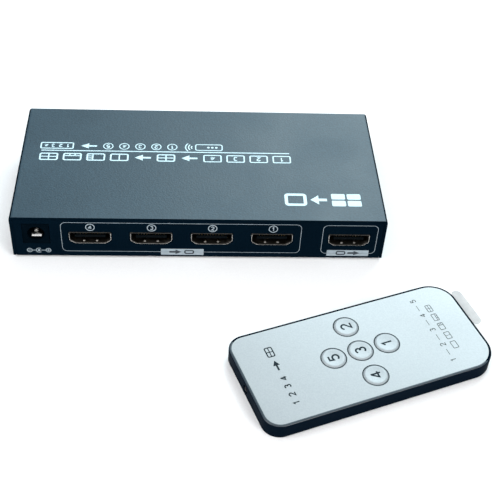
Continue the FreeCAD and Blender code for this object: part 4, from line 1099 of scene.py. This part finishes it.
def remote_print():
    film = (*REMOTE_PLACE, FILM_TOP)
    rings = Artwork()
    for number in KEYS:
        rings.ring(key_place(number), KEY_RADIUS + 0.15, 0.22)
    rings.lay("key_rings", "key_ink", "remote", film, ACROSS, -ALONG)

    marks = Artwork()
    low, tall = 27.4, 2.4
    for index in range(4):
        marks.number(index + 1, (-11.9 + 3.4 * index, low + tall / 2), tall, 0.42)
    marks.arrow(1.8, low + tall / 2, 4.2, 2.3)
    screen(marks, 7.65, low - 0.2, 4.3, 2.8, 0.42, FOUR_PANES)
    marks.lay("remote_front_marks", "key_ink", "remote", film, ACROSS, -ALONG)

    small = Artwork()
    for index in range(5):
        x = -13.4 + 6.9 * index
        small.number(index + 1, (x, -27.0), 2.1, 0.3)
        if index < 4:
            small.bar(x + 2.2, x + 4.7, -27.1, -26.9)
    for index, panes in enumerate([[], *LAYOUTS]):
        screen(small, -9.35 + 4.3 * index, -31.7, 3.2, 2.1, 0.24, panes)
    small.lay("remote_back_marks", "pale_ink", "remote", film, ACROSS, -ALONG)

    for number in KEYS:
        art = Artwork()
        art.number(number, (0, 0), 4.0, 0.62)
        art.ring((0, 0), KEY_RADIUS - 0.07, 0.12)
        art.refine(longest=0.4)
        art.lay(
            f"key_{number}_print",
            "key_ink",
            f"key_{number}",
            (*KEY_MIDDLES[number], FILM_TOP),
            ACROSS,
            -ALONG,
            lambda x, y: key_swell(math.hypot(x, y)),
        )


# Camera, floor and lights

# Place in millimetres, and the ways it looks and keeps to its right
CAMERA_PLACE = (-5.348, -299.246, 259.136)
CAMERA_FORWARD = (0.06324498, 0.72129729, -0.68973205)
CAMERA_RIGHT = (0.99795963, -0.03964532, 0.05004824)
CAMERA_SENSOR, CAMERA_LENS, CAMERA_NEAREST = 36.0, 74.03, 0.01

FLOOR_HALF = 2.5

# Place and target in metres, sizes, power and colour
LIGHTS = {
    "overhead": ((-0.1, -0.1, 1.1), (0, -0.05, 0), 1.4, 1.2, 3.4, (1.0, 0.99, 0.98)),
    "left_fill": ((-0.75, -0.35, 0.7), (0, -0.05, 0), 0.6, 0.5, 7.0, (0.98, 0.99, 1.0)),
    "back_right": ((0.42, 0.95, 0.9), (0.03, 0, 0), 0.8, 0.5, 16, (0.76, 0.94, 1.0)),
    "front_right": ((0.62, -0.75, 0.6), (0.03, -0.06, 0), 0.45, 0.4, 7, (1.0, 1.0, 1.0)),
    "front_fill": ((-0.12, -0.85, 0.85), (0, -0.05, 0), 0.4, 0.35, 1.5, (1.0, 0.98, 0.95)),
}
SKY_TINT, SKY_STRENGTH = (0.93, 0.96, 1.0, 1), 0.3


def aim(place, forward, right):
    """A turn and place for something that looks along forward."""
    up = right.cross(forward)
    turn = Matrix((right, up, -forward)).transposed().to_4x4()
    return Matrix.Translation(place) @ turn


def set_camera():
    data = bpy.data.cameras.new("camera")
    data.sensor_width = CAMERA_SENSOR
    data.lens = CAMERA_LENS
    data.clip_start = CAMERA_NEAREST
    camera = put_in_scene("camera", data)
    forward = Vector(CAMERA_FORWARD).normalized()
    right = Vector(CAMERA_RIGHT).normalized()
    camera.matrix_world = aim(Vector(CAMERA_PLACE) * MM, forward, right)
    bpy.context.scene.camera = camera


def soft_light(name, place, target, wide, deep, power, tint):
    data = bpy.data.lights.new(name, "AREA")
    data.shape = "RECTANGLE"
    data.size, data.size_y = wide, deep
    data.energy = power
    data.color = tint
    light = put_in_scene(name, data)
    forward = (Vector(target) - Vector(place)).normalized()
    right = forward.cross(Vector((0, 0, 1))).normalized()
    light.matrix_world = aim(Vector(place), forward, right)


def set_studio():
    corners = [(-1, -1), (1, -1), (1, 1), (-1, 1)]
    mesh = bpy.data.meshes.new("studio_floor")
    places = [(x * FLOOR_HALF, y * FLOOR_HALF, REMOTE_FLOOR * MM) for x, y in corners]
    mesh.from_pydata(places, [], [(0, 1, 2, 3)])
    mesh.materials.append(FINISHES["floor_paint"])
    floor = put_in_scene("studio_floor", mesh)

    for name, values in LIGHTS.items():
        soft_light(name, *values)

    world = bpy.data.worlds.new("studio")
    world.use_nodes = True
    background = world.node_tree.nodes["Background"]
    background.inputs["Color"].default_value = SKY_TINT
    background.inputs["Strength"].default_value = SKY_STRENGTH
    bpy.context.scene.world = world
    bpy.context.scene.view_settings.view_transform = "Standard"


# Finishes of the CAD nodes

# How much of a face's outward way is upwards, on the cover's flat top and on the remote's rim
FLAT_TOP, FLAT_RIM = 0.9, 0.6


def on_highlight_side(place):
    """Whether a place is in the near half of the remote, whose front and left edges take a painted
    highlight.

    The halves meet along a diagonal of the remote.
    """
    from_middle = place - Vector((*REMOTE_PLACE, 0))
    return from_middle.dot(ALONG) + from_middle.dot(ACROSS) * REMOTE_SLENDER < 0


def paint_nodes():
    """Gives every CAD node the finish of its slot, and some of their faces another."""
    slots = {part["node"]: part["material_slot"] for part in frame["record"]["subparts"]}
    meshes = {node: piece.data for node, piece in frame["nodes"].items()}
    for node, mesh in meshes.items():
        name = "panel_paint" if slots[node] == "case_paint" else slots[node]
        mesh.materials.clear()
        mesh.materials.append(FINISHES[name])
    # The inlet's pin, deep in the jack, takes the darker nickel: painted shade.
    meshes["power_jack_pin"].materials[0] = FINISHES["spring_nickel"]
    meshes["infrared_emitter"].materials[0] = FINISHES["infrared_resin"]

    meshes["top_cover"].materials.append(FINISHES["cover_sheen_paint"])
    # Painted light: the cover's upward faces take the lighter, glossier copy of the paint; its
    # bends and edges keep the near-black panel paint.
    for face in meshes["top_cover"].polygons:
        face.material_index = int(face.normal.z > FLAT_TOP)
    meshes["remote_upper_case"].materials.append(FINISHES["remote_rim"])
    for face in meshes["remote_upper_case"].polygons:
        # Painted highlight: upward faces of the rim on the near half take the lighter, glossier rim
        # finish; the far edges stay dark.
        painted_highlight = face.normal.z > FLAT_RIM and on_highlight_side(face.center / MM)
        face.material_index = int(painted_highlight)


set_camera()
set_studio()
paint_nodes()
for number in PORT_PLACES:
    socket_shell(f"input_{number}_mouth", f"input_{number}_shell")
socket_shell("output_mouth", "output_shell")
jack_spring()
contact_fingers()
chip_legs()
for number in KEYS:
    key_cap(number)
    snap_dome(number)
pull_tab()
cover_print()
port_print()
control_print()
remote_print()
